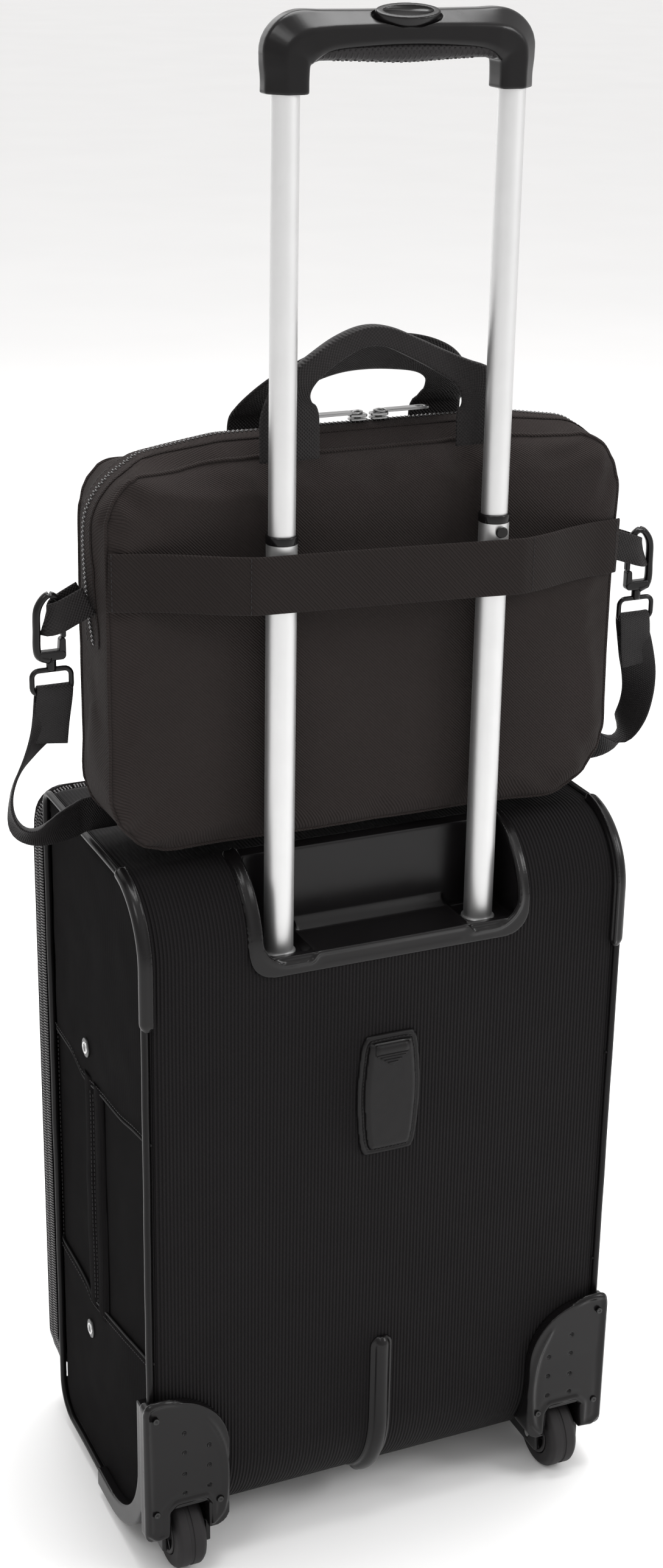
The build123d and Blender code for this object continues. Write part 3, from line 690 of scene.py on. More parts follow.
BAG = twill("bag_cloth", 0.0205, 1.5, 0.4, warmth=1.14)
LOOK = {
    "rib": ribbed(),
    "side": woven("side_cloth", 0.0034, 0.85, 0.25, 1.03),
    "overlay": woven("overlay_cloth", 0.0040, 1.15, 0.35, 1.03),
    "lining": woven("lining", 0.012, 0.8, 0.1),
    "bag": BAG,
    "strap": twill("trolley_webbing", 0.0145, 1.7, 0.3, 1.14, "UV"),
    "webbing": webbing("handle_webbing", 0.0105, 2.4, 2.4, warmth=1.06),
    "satin": webbing("strap_webbing", 0.0095, 1.6, 2.6, 0.2, 0.5, 1.04),
    "piping": plastic("piping", 0.0042, 0.28, 0.4, 0.08, 1.4, 0, 0.14),
    "moulding": plastic("moulding", 0.0045, 0.2, 0.3, 0.04, 0.8, 0.0, 0.24),
    "gloss": plastic("gloss_moulding", 0.0045, 0.14, 0.22, 0.03, 1.2, 0.0, 0.25),
    "rubber": plastic("tyre", 0.011, 0.6, 0.75, 0.1, 1.0, 0, 0.3),
    "binding": plastic("binding", 0.0036, 0.5, 0.62, 0.1, 1.2, 0, 0.12),
    "hub": plastic("hub", 0.010, 0.35, 0.5),
    "soft": dotted_rubber(),
    "tube": metal("tube", 0.70, 0.42, 0.5, (1, 1, 0.02)),
    "steel": metal("steel", 0.62, 0.22, 0.34),
    "gunmetal": metal("zip_metal", 0.30, 0.24, 0.36, (0.05, 1, 1)),
    "black_metal": metal("black_metal", 0.05, 0.3, 0.45),
    "coil": plastic("coil_zip", 0.016, 0.2, 0.3, 0.02, 0.6, 0.0, 0.75),
    "tape": woven("zip_tape", 0.0050, 0.7, 0.15),
    "thread": plastic("thread", 0.014, 0.55, 0.7, 0.05, 0.4),
    "leather": leather(),
    "card": plastic("card", 0.55, 0.5, 0.6, 0.01, 1.0, 0.0, 0.3, 1.0),
}


# Side profile of the case, as distance along it and height over it

PROFILE = [
    (BACK_Y, BOTTOM_Z, 80), (FRONT_Y, BOTTOM_Z, 26), (FRONT_Y, TOP_Z, 12), (BACK_Y, TOP_Z, 52),
]
BACK_START_Z = BOTTOM_Z + 80


def profile_points(offset=0.0, step=3.0):
    """The closed side outline in (y, z), grown by offset."""
    grown = []
    for y, z, radius in PROFILE:
        grown.append((y + (offset if y > 0 else -offset), z + (offset if z > 100 else -offset),
                      radius + offset))
    return rounded(grown, step)


def unrolled():
    """The outline opened at the front, starting at the front bottom and going over the back."""
    closed = spaced(profile_points(), 1.0, True)
    front = closed[:, 0] > FRONT_Y - 0.01
    start = int(np.argmax(front & (closed[:, 1] < 42) & (closed[:, 1] > 38.5)))
    path = np.roll(closed, -start, 0)
    if path[40][0] > FRONT_Y - 0.01:
        path = path[::-1]
    keep = ~((path[:, 0] > FRONT_Y - 0.01) & (path[:, 1] > 44) & (path[:, 1] < 524))
    path = path[keep]
    gap = np.linalg.norm(np.diff(path, axis=0), axis=1) > 100
    return path[:int(np.argmax(gap)) + 1] if gap.any() else path


WRAP = unrolled()
WRAP_S = np.r_[0, np.cumsum(np.linalg.norm(np.diff(WRAP, axis=0), axis=1))]
ZERO = WRAP_S[int(np.argmin(np.hypot(WRAP[:, 0] - BACK_Y, WRAP[:, 1] - BACK_START_Z)))]
WRAP_S = WRAP_S - ZERO
WRAP_N = unit(np.gradient(WRAP, axis=0)) @ np.array([[0, 1], [-1, 0]])
if WRAP_N[int(np.argmin(abs(WRAP_S - 200)))][0] > 0:
    WRAP_N = -WRAP_N


def over_case(x, s, height):
    """Layout points at distance s along the profile from the foot of the back panel."""
    y = np.interp(s, WRAP_S, WRAP[:, 0])
    z = np.interp(s, WRAP_S, WRAP[:, 1])
    ny = np.interp(s, WRAP_S, WRAP_N[:, 0])
    nz = np.interp(s, WRAP_S, WRAP_N[:, 1])
    return np.column_stack([x, y + ny * height, z + nz * height])


def build_wrap():
    half = HALF_WIDTH - 0.5
    shape = box_outline((-half, half), (WRAP_S[0], WRAP_S[-1]), 0)
    tray = box_outline((-98.5, 98.5), (381.5, 465.1), 3)
    wells = [box_outline((side * WHEEL[0] - 18.5, side * WHEEL[0] + 18.5), (-94.9, -26.5),
                         3) for side in (-1, 1)]

    def relief(x, s, edge):
        """Pulled down at the side seams, a little loose in between."""
        side = half - abs(x)
        seam = -1.6 * np.exp(-(side / 5.0) ** 2)
        quiet = np.clip((side - 4) / 40, 0, 1)
        return seam + quiet * ripple(x, s, 90, 0.35) + quiet * 0.25

    panel = patch("case_wrap", shape, over_case, 3.2, (LOOK["rib"], LOOK["lining"]), (tray, *wells),
                  relief, 2.6)
    place(panel, "case", "ribbed_cloth", "back_top_panel", "bottom_panel")


def side_plane(side, level):
    def plane(y, z, height):
        return np.column_stack([side * (level + height), y, z])
    return plane


def side_relief(side, y, z, edge):
    """Side cloth pulled down at its seam and a little full in the middle."""
    return (-1.8 * np.exp(-(edge / 5.0) ** 2) + np.clip(edge / 50, 0, 1) * 1.2
            + np.clip(edge / 30, 0, 1) * ripple(y, z, 80, 0.9, 3.0 * side))


def build_sides():
    outline = profile_points(-1.0)
    for side, name in ((-1, "left"), (1, "right")):
        def relief(y, z, edge, side=side):
            return side_relief(side, y, z, edge)
        panel = patch(f"side_{name}", outline, side_plane(side, SIDE_LEVEL), 4.0,
                      (LOOK["side"], LOOK["lining"]), (), relief, 2.4)
        place(panel, "case", "side_cloth", f"side_panel_{name}")


def side_level(side, y, z):
    """Height of the side cloth at a place, so that what lies on it follows it."""
    return side_relief(side, y, z, nearest(profile_points(-1.0), np.column_stack([y, z]))[1])


UPPER_EDGE = [(186, 349), (143, 350), (125, 345), (110, 342), (74, 347), (32, 350), (7, 354),
              (-20, 357)]
LOWER_EDGE = [(-20, 183), (5, 179), (41, 173), (77, 166), (105, 161), (119, 165), (143, 168),
              (186, 168)]


def clipped(edge, upper):
    """The part of the side outline above or below a drawn edge, closed along that edge."""
    rim = spaced(profile_points(-2.5), 2.0, True)
    line = flowing(np.array(edge, float), 4.0)
    order = np.argsort(line[:, 0])
    level = np.interp(rim[:, 0], line[order, 0], line[order, 1])
    keep = rim[:, 1] > level if upper else rim[:, 1] < level
    start = int(np.argmax(keep & ~np.roll(keep, 1)))
    kept = np.roll(rim, -start, 0)[np.roll(keep, -start)]
    if np.linalg.norm(kept[-1] - line[0]) > np.linalg.norm(kept[-1] - line[-1]):
        line = line[::-1]
    line = line[(line[:, 0] > BACK_Y + 3) & (line[:, 0] < FRONT_Y - 3)]
    return np.vstack([kept, line])


def build_overlays():
    pieces, seams, cords = [], [], []
    for side in (-1, 1):
        for edge, upper in ((UPPER_EDGE, True), (LOWER_EDGE, False)):
            shape = clipped(edge, upper)

            def relief(y, z, gap, side=side):
                return (side_level(side, y, z) + 1.3 + 0.5 * np.clip(gap / 8, 0, 1)
                        + ripple(y, z, 26, 0.5, side))

            tag = "upper" if upper else "lower"
            pieces.append(patch(f"overlay_{tag}_{side}", shape, side_plane(side, SIDE_LEVEL), 3.0,
                                (LOOK["overlay"],), (), relief, 1.4))
            path = flowing(np.array(edge, float), 3.0)
            shift = 2.6 if upper else -2.6
            level = side_level(side, path[:, 0], path[:, 1]) + HALF_WIDTH - 1.2
            rim = np.column_stack([side * (level + 1.5), path])
            cords.append(sweep("cord", rim, circle(0.85, 8), LOOK["binding"]))
            row = np.column_stack([side * (level + 2.5), path[:, 0], path[:, 1] + shift * 1.6])
            seams.append(stitches("seam", row[2:-2], (side, 0, 0), LOOK["thread"]))
        pieces.append(build_strip(side, seams))
    overlays = joined("side_overlays_cloth", pieces, LOOK["overlay"])
    place(overlays, "case", "overlay_cloth", "side_overlays")
    place(joined("overlay_edge_binding", cords, LOOK["binding"]), "case", "piping")
    place(joined("overlay_stitching", seams, LOOK["thread"]), "case", "overlay_cloth")


def build_strip(side, seams):
    """Padded strip between the overlays, with a stitched middle seam."""
    shape = rounded([(70, 158, 0), (116, 158, 0), (114, 350, 0), (72, 350, 0)])
    def relief(y, z, gap):
        middle = abs(y - 93)
        return side_level(side, y, z) + 0.6 + 2.4 * np.clip(1 - ((middle - 10) / 11) ** 2, 0, 1) \
            - 0.4 * np.exp(-(middle / 1.5) ** 2) + ripple(y, z, 30, 0.4, 2.0)
    strip = patch("strip", shape, side_plane(side, SIDE_LEVEL), 2.0, (LOOK["side"],), (), relief,
                  1.2)
    for offset in (-3.2, 3.2):
        z = np.arange(168, 342, 3.0)
        y = np.full_like(z, 93 + offset)
        level = side_level(side, y, z) + HALF_WIDTH + 1.6
        seams.append(stitches("seam", np.column_stack([side * level, y, z]), (side, 0, 0),
                              LOOK["thread"]))
    return strip


def build_rivets():
    pieces, rings = [], []
    for side in (-1, 1):
        for y, z in ((105, 370), (110, 131)):
            level = float(side_level(side, np.array([y]), np.array([z]))[0]) + HALF_WIDTH + 0.6
            disc = prism("disc", circle(7.2, 28) + (y, z), "x",
                         (side * (level - 1), side * (level + 1.2)),
                         LOOK["black_metal"], 0.5)
            pieces.append(disc)
            ring = np.column_stack([np.full(32, side * (level + 1.2)), circle(3.7, 32) + (y, z)])
            rings.append(sweep("ring", ring, circle(0.9, 8), LOOK["steel"], closed=True))
            pieces.append(prism("cap", circle(2.6, 20) + (y, z), "x",
                                (side * level, side * (level + 1.9)),
                                LOOK["black_metal"], 0.7))
    place(joined("rivet_washers", pieces, LOOK["black_metal"]), "case", "steel", "overlay_rivets")
    place(joined("rivet_caps", rings, LOOK["steel"]), "case", "steel")


def build_piping():
    """Cord in the side seams and the stitch line beside it."""
    cords, threads = [], []
    for side in (-1, 1):
        loop = spaced(profile_points(-1.2, 3.0), 4.0, True)
        wobble = ripple(loop[:, 0], loop[:, 1], 40, 0.35, side)
        path = np.column_stack([side * (HALF_WIDTH + 1.6 + wobble), loop])
        cords.append(sweep("cord", path, circle(2.5, 10), LOOK["piping"], closed=True))
        inner = spaced(profile_points(-6.2, 3.0), 4.0, True)
        row = np.column_stack([np.full(len(inner), side * (HALF_WIDTH - 0.6)), inner])
        threads.append(stitches("seam", row, (side, 0, 0), LOOK["thread"], True))
    place(joined("seam_piping", cords, LOOK["piping"]), "case", "piping", "edge_piping")
    place(joined("seam_stitches", threads, LOOK["thread"]), "case", "piping")


def build_guards():
    """Rounded moulded rail over the side seam at each top rear corner."""
    outline = spaced(profile_points(-0.6, 3.0), 2.0, True)
    for side, name in ((-1, "left"), (1, "right")):
        low = np.flatnonzero((outline[:, 0] < 33) & (outline[:, 1] > 440))
        run = outline[low]
        run = run[np.argsort(np.arctan2(run[:, 1] - 440, run[:, 0] - 34))]
        path = spaced(np.column_stack([np.full(len(run), side * (HALF_WIDTH + 0.2)), run]), 2.0)
        grow = np.minimum(1, 0.45 + 0.22 * np.minimum(np.arange(len(path)),
                                                      np.arange(len(path))[::-1]))
        sides = across_x(path)
        rail = sweep("rail", path, circle(1, 20) * (5.2, 4.5), None, sides, scale=grow)
        ridge = sweep("ridge", path[2:-2] + (side * -2.6, 0, 0), circle(1, 12) * (1.5, 5.2), None,
                      sides[2:-2])
        guard = mould(joined(f"corner_guard_{name[0]}", [rail, ridge]), "moulding", 0.7, 3)
        place(guard, "case", "moulding", f"corner_guard_{name}")


def build_skid():
    """Half-round runner up the back on a thin flange, rounded off at its top."""
    s = np.linspace(69, -86, 60)
    path = over_case(np.zeros(60), s, np.zeros(60))
    turn = np.linspace(0, math.pi, 13)
    dome = np.vstack([np.column_stack([6.2 * np.cos(turn), 6.8 * np.sin(turn)]),
                      [(-6.2, -1.5), (6.2, -1.5)]])
    taper = np.clip(np.array([0.45, 0.8, 0.96] + [1.0] * 54 + [1.06, 1.0, 0.7]), 0, 2)
    side = across_x(path)
    runner = sweep("runner", path, dome, None, side, scale=taper)
    flange = sweep("flange", path, flat(18, 3.6, 6), None, side,
                   scale=np.column_stack([taper, np.ones(60)]))
    bar = mould(joined("skid_runner", [runner, flange]), "moulding", 0.8, 5)
    place(bar, "case", "moulding", "skid_bar")
    feet = mould(copied("front_foot_pads", "front_feet"), "rubber", 0.8, 4)
    place(feet, "case", "moulding", "front_feet")


def build_tray():
    """Recess with a crowned bezel, a raised lip round its mouth and a filleted floor."""
    mouth = rounded([(-96, 384, 20), (-60, 383, 3), (-56, 388.5, 3), (56, 388.5, 3), (60, 383, 3),
                     (96, 384, 20),
                     (96, 520, 0), (-96, 520, 0)])
    shape = rounded([(-105.5, 373, 24), (105.5, 373, 24), (105.5, 476, 6), (-105.5, 476, 6)])

    def relief(x, s, edge):
        spots = np.column_stack([x, s])
        lip = nearest(mouth, spots)[1]
        crowned = 2.9 - 2.4 * np.exp(-(edge / 2.0) ** 2)
        return crowned + 1.7 * np.exp(-(lip / 2.6) ** 2) - 0.8 * np.exp(-((lip - 6) / 3) ** 2)

    bezel = patch("bezel", shape, over_case, 1.6, (None,), (mouth,), relief, 3.2)
    floor = [(RECESS[0], 480), (RECESS[0], 488.5), (RECESS[0] - 3.5, 484), (RECESS[0] - 8.5, 480)]
    fillet = prism("fillet", np.array(floor) + (0.5, -0.5), "x", (-56, 56), None)
    steps = [prism("step", np.array([(side * 57.5, 481), (side * 63, 475), (side * 56, 475)]), "y",
                   (-18, 19), None)
             for side in (-1, 1)]
    tray = joined("handle_tray_moulding", [copied("tray", "handle_tray"), bezel, fillet, *steps])
    tray = mould(tray, "moulding", 0.9, 4)
    place(tray, "case", "moulding", "handle_tray")


def housing_face():
    """Face of the left housing: raised rim, hollow brow, full belly, arch over the wheel."""
    arc = flowing([(-186, 146), (-184.5, 153), (-178, 156.6), (-163, 155), (-141, 141), (-126, 117),
                   (-120.5, 88), (-122.5, 54), (-131, 41)], 3.0)
    arch = [(-136.5, 38.5), (-136.5, 59), (-140, 64.5), (-161, 64.5), (-165.5, 60), (-165.5, 38.5),
            (-178, 37), (-185.5, 44)]
    shape = np.vstack([arc, arch])

    def relief(x, z, edge):
        rim = 2.4 * np.exp(-((edge - 3.0) / 2.4) ** 2) - 1.6 * np.exp(-(edge / 1.2) ** 2)
        brow = -3.2 * np.exp(-((x + 154) / 17) ** 2 - ((z - 139) / 12) ** 2)
        belly = 1.8 * np.clip((118 - z) / 60, 0, 1) * np.clip(edge / 10, 0, 1)
        return rim + brow + belly
    return patch("face", shape, rear_plane(HOUSING_FACE_Y), 1.6, (None,), (), relief, 5.0)


def build_housings():
    shell = joined("shell", [copied("wheel_housing", "wheel_housing_left"), housing_face()])
    settle(modify(shell, "REMESH", mode="VOXEL", voxel_size=0.9 * MM))
    dimples = [(-155.5, z) for z in (125, 108.5, 90.5, 74.5)] + [(-136.7, z) for z in (110, 93, 76)]
    cutters = [prism("dimple", circle(1.7, 12) + spot, "y", (-34, -26.2), None) for spot in dimples]
    carve(shell, joined("dimples", cutters))
    rename(eased(shell, 4), "wheel_housing_l")
    clad(shell, "moulding")
    other = mirrored(shell, "wheel_housing_r")
    place(shell, "case", "moulding", "wheel_housing_left")
    place(other, "case", "moulding", "wheel_housing_right")


def revolved(name, profile, sides, material, spot):
    """A section turned full circle.  spot(a, b, cosine, sine) gives the layout points."""
    count = len(profile)
    points, faces = [], []
    for turn in np.linspace(0, 2 * math.pi, sides, endpoint=False):
        points += [spot(a, b, math.cos(turn), math.sin(turn)) for a, b in profile]
    for i in range(sides):
        here, there = i * count, (i + 1) % sides * count
        for j in range(count):
            k = (j + 1) % count
            faces.append((here + j, here + k, there + k, there + j))
    return outward(make(name, points, faces, material))


def lathe(name, profile, centre, material, sides=64):
    """A section in (radius, x) turned about an axle."""
    x0, y0, z0 = centre
    return revolved(name, profile, sides, material,
                    lambda radius, x, c, s: (x0 + x, y0 + radius * c, z0 + radius * s))


def build_wheels():
    x, y, radius = WHEEL
    tread = rounded([(17.2, -11.4, 1), (25, -11.4, 4), (28, -8, 3), (28, -1.6, 0.4),
                     (27.2, -1.2, 0.3), (27.2, 1.2, 0.3),
                     (28, 1.6, 0.4), (28, 8, 3), (25, 11.4, 4), (17.2, 11.4, 1)], 20)
    hub = rounded([(3.1, -12.6, 0.5), (6.5, -12.6, 0.8), (7.5, -6, 1.5), (12, -6, 1.5),
                   (14, -12.2, 0.8), (16.8, -12.2, 0.8),
                   (16.8, 12.2, 0.8), (14, 12.2, 0.8), (12, 6, 1.5), (7.5, 6, 1.5),
                   (6.5, 12.6, 0.8), (3.1, 12.6, 0.5)], 25)
    for side, name in ((-1, "left"), (1, "right")):
        tyre = lathe(f"tyre_{name[0]}", tread, (side * x, y, radius), LOOK["rubber"], 72)
        place(tyre, f"wheel_{name}", "tyre", f"tyre_{name}")
        core = lathe(f"hub_{name[0]}", hub, (side * x, y, radius), LOOK["hub"])
        spokes = [core]
        for turn in np.linspace(0, 2 * math.pi, 6, endpoint=False):
            rib = prism("rib", rounded([(6, -0.9, 0), (15, -0.9, 0), (15, 0.9, 0), (6, 0.9, 0)]),
                        "x",
                        (side * x - 11, side * x + 11), LOOK["hub"], 0.3)
            spokes.append(turned(rib, (0, y, radius), (turn, "X")))
        place(joined(f"wheel_hub_{name[0]}", spokes, LOOK["hub"]), f"wheel_{name}", "hub",
              f"wheel_hub_{name}")


def build_screws():
    pieces = []
    for side in (-1, 1):
        for x, z in ((-177, 142), (-129, 62), (-177, 62)):
            head = prism("head", circle(2.4, 18) + (side * -x, z), "y", (-30.6, -28.5),
                         LOOK["black_metal"], 0.5)
            slots = [prism("slot", circle(1, 4) * size + (side * -x, z), "y", (-31.5, -30.1), None)
                     for size in ((1.6, 0.35), (0.35, 1.6))]
            pieces.append(carve(head, *slots))
    place(joined("housing_screw_heads", pieces, LOOK["black_metal"]), "case", "steel",
          "housing_screws")


# Telescoping handle

def oval(half_length, half_width, count=44):
    return circle(1.0, count) * (half_length, half_width)


def build_grip():
    """Grip with a sloped rear top, its soft pad, and the oval button in a dish."""
    half = [(-75.6, 1030.6, 25.5), (-75.6, 1040, 25.5), (-75.6, 1049.5, 27.5), (-73.4, 1057, 31),
            (-65, 1063, 30),
            (-50, 1065.8, 23.5), (-25, 1066.8, 21)]
    line = half + [(0, 1067.2, 20.5)] + [(-x, z, t) for x, z, t in half[::-1]]
    route = flowing([(x, 0, z, t) for x, z, t in line], 2.0)
    section = rounded([(-13, -13, 5), (3, -13, 3.5), (13, -1.5, 4), (13, 13, 5), (-13, 13, 5)], 15)
    tangent = frames(route[:, :3], along_y(route[:, :3]))[0]
    across = np.cross(tangent, (0, 1.0, 0))
    if across[len(across) // 2][2] < 0:
        across = -across
    scale = np.column_stack([route[:, 3] / 26, np.interp(abs(route[:, 0]), (60, 75), (1.0, 0.86))])
    bar = sweep("bar", route[:, :3], section, None, across, scale=scale)
    points = np.array([layout(vertex.co) for vertex in bar.data.vertices])
    top = points[:, 2] > 1071
    rear, front = (points[top & (depth > 6), 2].max(initial=0)
                   for depth in (-points[:, 1], points[:, 1]))
    if rear > front:
        bar.data.transform(Matrix.Translation((0, 2 * TUBE_Y, 0)) @ Matrix.Scale(-1, 4, (0, 1, 0)))
        bar.data.flip_normals()
    shell = mould(bar, "moulding", 0.8, 4)
    tilt, seat = math.radians(30), (0, -5.5, 1073.2)
    carve(shell, turned(prism("dish", oval(23.2, 9.6), "z", (-1.3, 20), None), seat, (tilt, "X")))
    eased(clad(shell, "moulding"), 2)
    place(rename(shell, "grip_moulding"), "inner_stage", "moulding", "grip_shell")
    line = flowing([(-60.5, 0, 1051, 0.5), (-54, 0, 1054, 0.72), (-35, 0, 1054.6, 0.85),
                    (0, 0, 1054.2, 1.0),
                    (35, 0, 1054.6, 0.85), (54, 0, 1054, 0.72), (60.5, 0, 1051, 0.5)], 2.0)
    pad = sweep("grip_pad", line[:, :3], oval(11.8, 7.2, 24), LOOK["soft"], along_y(line[:, :3]),
                scale=np.column_stack([0.75 + 0.25 * line[:, 3], line[:, 3]]))
    place(pad, "inner_stage", "soft_grip", "grip_insert")
    rows = []
    for y in (-5.5, 0.5):
        x = np.arange(-44, 45, 5.5)
        sag = 7.0 * math.sqrt(1 - (y / 11.8) ** 2)
        z = np.interp(x, line[:, 0], line[:, 2]) - sag * np.interp(x, line[:, 0], line[:, 3])
        rows.append(beads("dots", np.column_stack([x, np.full(len(x), y), z]), (1, 0, 0), (0, 0, 1),
                          0.9, 0.8, LOOK["soft"]))
    place(joined("grip_dots", rows, LOOK["soft"]), "inner_stage", "soft_grip")
    button = prism("grip_button", oval(21.3, 8.3), "z", (-2.0, 4.6), LOOK["moulding"])
    bowl = prism("bowl", oval(16.5, 5.2), "z", (3.7, 8), None)
    button = turned(carve(mould(button, "moulding", 0.6, 5), bowl), seat, (tilt, "X"))
    eased(button, 3).data.shade_smooth()
    place(button, "release_button", "moulding", "release_button")


def dress(node, look):
    """Gives a CAD node that stays its procedural finish."""
    mesh = NODES[node].data
    mesh.materials.clear()
    mesh.materials.append(LOOK[look])
    mesh.shade_smooth()


def dress_nodes():
    looks = {
        "outer_tubes": "tube", "middle_tubes": "tube", "inner_tubes": "tube",
        "wheel_axles": "steel",
        "tube_bracket": "moulding", "front_rim": "lining", "back_board": "lining",
        "handle_mounts": "moulding",
    }
    for node, look in looks.items():
        dress(node, look)
        modify(NODES[node], "EDGE_SPLIT", split_angle=0.6)


def tube_ring(side):
    """Collar with a rounded top lip round the middle tube's end."""
    section = rounded([(8.75, 763.8, 0.5), (8.75, 758, 0), (10.04, 758, 0), (10.4, 758.4, 0.2),
                       (10.5, 763.8, 1.1)], 20)
    return revolved("ring", section, 56, LOOK["gloss"],
                    lambda radius, z, c, s: (side * TUBE_X + radius * c, radius * s, z))


def build_rings():
    rings = joined("tube_collars", [tube_ring(-1), tube_ring(1)], LOOK["gloss"])
    place(rings, "middle_stage", "moulding", "tube_rings")
    button = prism("latch_cap", box_outline((TUBE_X - 4, TUBE_X + 4), (749.5, 756.5), 3.2), "y",
                   (-12.9, -10.1), LOOK["gloss"],
                   0.8)
    place(button, "lock_button", "moulding", "lock_button")


# Luggage tag

def barrel_outline(half_widths):
    """A closed outline with bowed sides from (z, half width)."""
    right = [(w, z) for z, w in half_widths]
    left = [(-w, z) for z, w in half_widths[::-1]]
    return flowing(right + left, 1.2, True)


def build_tag():
    """Bowed leather base with a stitched groove, and a padded cover with a ridged tab."""
    shape = barrel_outline([(408, 15), (405.5, 19), (399, 21.6), (380, 23.6), (362, 24.4),
                            (340, 23.4), (323, 21.4),
                            (316.5, 19), (314.5, 15)])
    base = patch("tag_base", shape, rear_plane(TAG_BASE_Y), 1.1, (LOOK["leather"],), (),
                 lambda x, z,
                 e: 2.4 * np.clip(e / 2.2, 0, 1) ** 0.5 - 1.0 * np.exp(-((e - 4.0) / 0.9) ** 2),
                 2.0)
    place(base, "case", "tag_leather", "tag_holder")
    centre = np.array((0, 361.0))
    row = centre + (shape - centre) * (0.832, 0.912)
    row = at_depth(row, -22.2)
    place(stitches("tag_stitches", row, (0, -1, 0), LOOK["thread"], True, 3.0), "case",
          "tag_leather")
    card = prism("tag_card", box_outline((-14.5, 14.5), (324, 392), 2), "y", (-23.1, -22.6),
                 LOOK["card"], 0.15)
    place(card, "case", "tag_leather")
    pin = sweep("tag_pin", spaced([(-13, -23.8, 402), (13, -23.8, 402)], 6), circle(1.0, 10),
                LOOK["black_metal"])
    place(pin, "case", "tag_leather")
    shape = barrel_outline([(403, 13.5), (400.5, 16.4), (394, 17.6), (378, 19.2), (361, 19.8),
                            (340, 18.6), (326, 17),
                            (320.8, 15.2), (319.6, 12)])
    cover = patch("cover", shape, rear_plane(TAG_COVER_Y), 1.0, (LOOK["leather"],), (),
                  lambda x, z, e: 3.0 * np.clip(e / 3.4, 0, 1) ** 0.5, 2.0)
    roll = spaced([(-12.6, -25.0, 397.6), (12.6, -25.0, 397.6)], 3)
    hood = sweep("hood", roll, circle(1, 18) * (2.3, 4.2), LOOK["moulding"], along_y(roll))
    wedge = prism("wedge", rounded([(-13, 394.5, 0.6), (13, 394.5, 0.6), (0, 385.2, 1.2)]), "y",
                  (-27.0, -25.4),
                  LOOK["moulding"], 0.5)
    ridges = [sweep("ridge", spaced([(-w, -27.1, z), (w, -27.1, z)], 2), circle(0.55, 8),
                    LOOK["moulding"])
              for w, z in ((9.4, 392.4), (6.6, 390.3), (3.8, 388.2))]
    place(joined("tag_cover_flap", [cover, hood, wedge, *ridges], LOOK["leather"]), "tag_cover",
          "tag_leather", "tag_cover")


# Lid

def lid_edge(inset=0.0, radius=22):
    return box_outline((-LID_HALF + inset, LID_HALF - inset), (LID_Z[0] + inset, LID_Z[1] - inset),
                       radius)


def build_lid():
    """Padded front with a gusset, as one dished shell."""
    outline = spaced(lid_edge(), 5.0, True)
    tangent = unit(np.roll(outline, -1, 0) - np.roll(outline, 1, 0))
    inward = np.column_stack([-tangent[:, 1], tangent[:, 0]])
    if (inward[0] @ (np.array((0, 284)) - outline[0])) < 0:
        inward = -inward
    rings = []
    for inset, y in ((5.0, LID_BACK), (2.0, LID_BACK), (0.3, 196), (-1.8, 203), (-1.2, 208),
                     (0.8, 212), (4.0, 215.4),
                     (9.0, 216.8)):
        ring = outline + inward * inset
        sag = ripple(ring[:, 0] + y * 3, ring[:, 1], 50, 0.6, y)
        rings.append(np.column_stack([ring[:, 0], np.full(len(ring), y) + sag * (y > 195),
                                      ring[:, 1]]))
    points = np.array(rings)
    count, around = points.shape[:2]
    index = np.arange(count * around).reshape(count, around)
    faces = []
    for a, b in zip(index[:-1], index[1:]):
        faces += list(zip(a, np.roll(a, -1), np.roll(b, -1), b))
    wall = outward(make("wall", points.reshape(-1, 3), faces, LOOK["overlay"]))

    def relief(x, z, edge):
        puff = 1.5 * np.clip(edge / 40, 0, 1)
        return puff + np.clip(edge / 20, 0, 1) * ripple(x, z, 70, 0.8, 5.0)

    front = patch("front", lid_edge(8, 15), front_plane(LID_FACE_Y), 4.0,
                  (LOOK["overlay"],), (), relief, 0)
    lining = patch("lining", lid_edge(3, 19),
                   rear_plane(LID_LINING_Y), 8.0, (LOOK["lining"],), (), None, 0.8)
    shell = joined("lid_cloth", [wall, front], LOOK["overlay"])
    place(shell, "lid", "side_cloth", "lid_panel")
    place(lining, "lid", "side_cloth")
    path = at_depth(outline + inward * 2.2, 215.0)
    place(sweep("lid_piping", path, circle(1.9, 8), LOOK["piping"], closed=True), "lid", "piping")


def swollen(obj, voxel, shrink, cap, pressure=4.0, frames_run=20):
    """Shrinks a padded solid and inflates it as cloth, moving no point by more than cap."""
    modify(obj, "REMESH", mode="VOXEL", voxel_size=voxel * MM, use_smooth_shade=True)
    settle(obj)
    mesh = obj.data
    for vertex, normal in zip(mesh.vertices, [v.normal.copy() for v in mesh.vertices]):
        vertex.co -= normal * shrink * MM
    start = np.array([vertex.co[:] for vertex in mesh.vertices])
    cloth = obj.modifiers.new("cloth", "CLOTH")
    cloth.settings.use_pressure = True
    cloth.settings.uniform_pressure_force = pressure
    cloth.settings.quality = 5
    cloth.settings.tension_stiffness = 30
    cloth.settings.compression_stiffness = 20
    cloth.settings.bending_stiffness = 1.5
    cloth.settings.effector_weights.gravity = 0
    for number in range(1, frames_run + 1):
        bpy.context.scene.frame_set(number)
    settle(obj)
    bpy.context.scene.frame_set(1)
    end = np.array([vertex.co[:] for vertex in obj.data.vertices])
    move = end - start
    length = np.linalg.norm(move, axis=1, keepdims=True)
    end = start + move * np.minimum(1, cap * MM / np.maximum(length, 1e-9))
    obj.data.vertices.foreach_set("co", end.ravel())
    obj.data.update()
    return obj


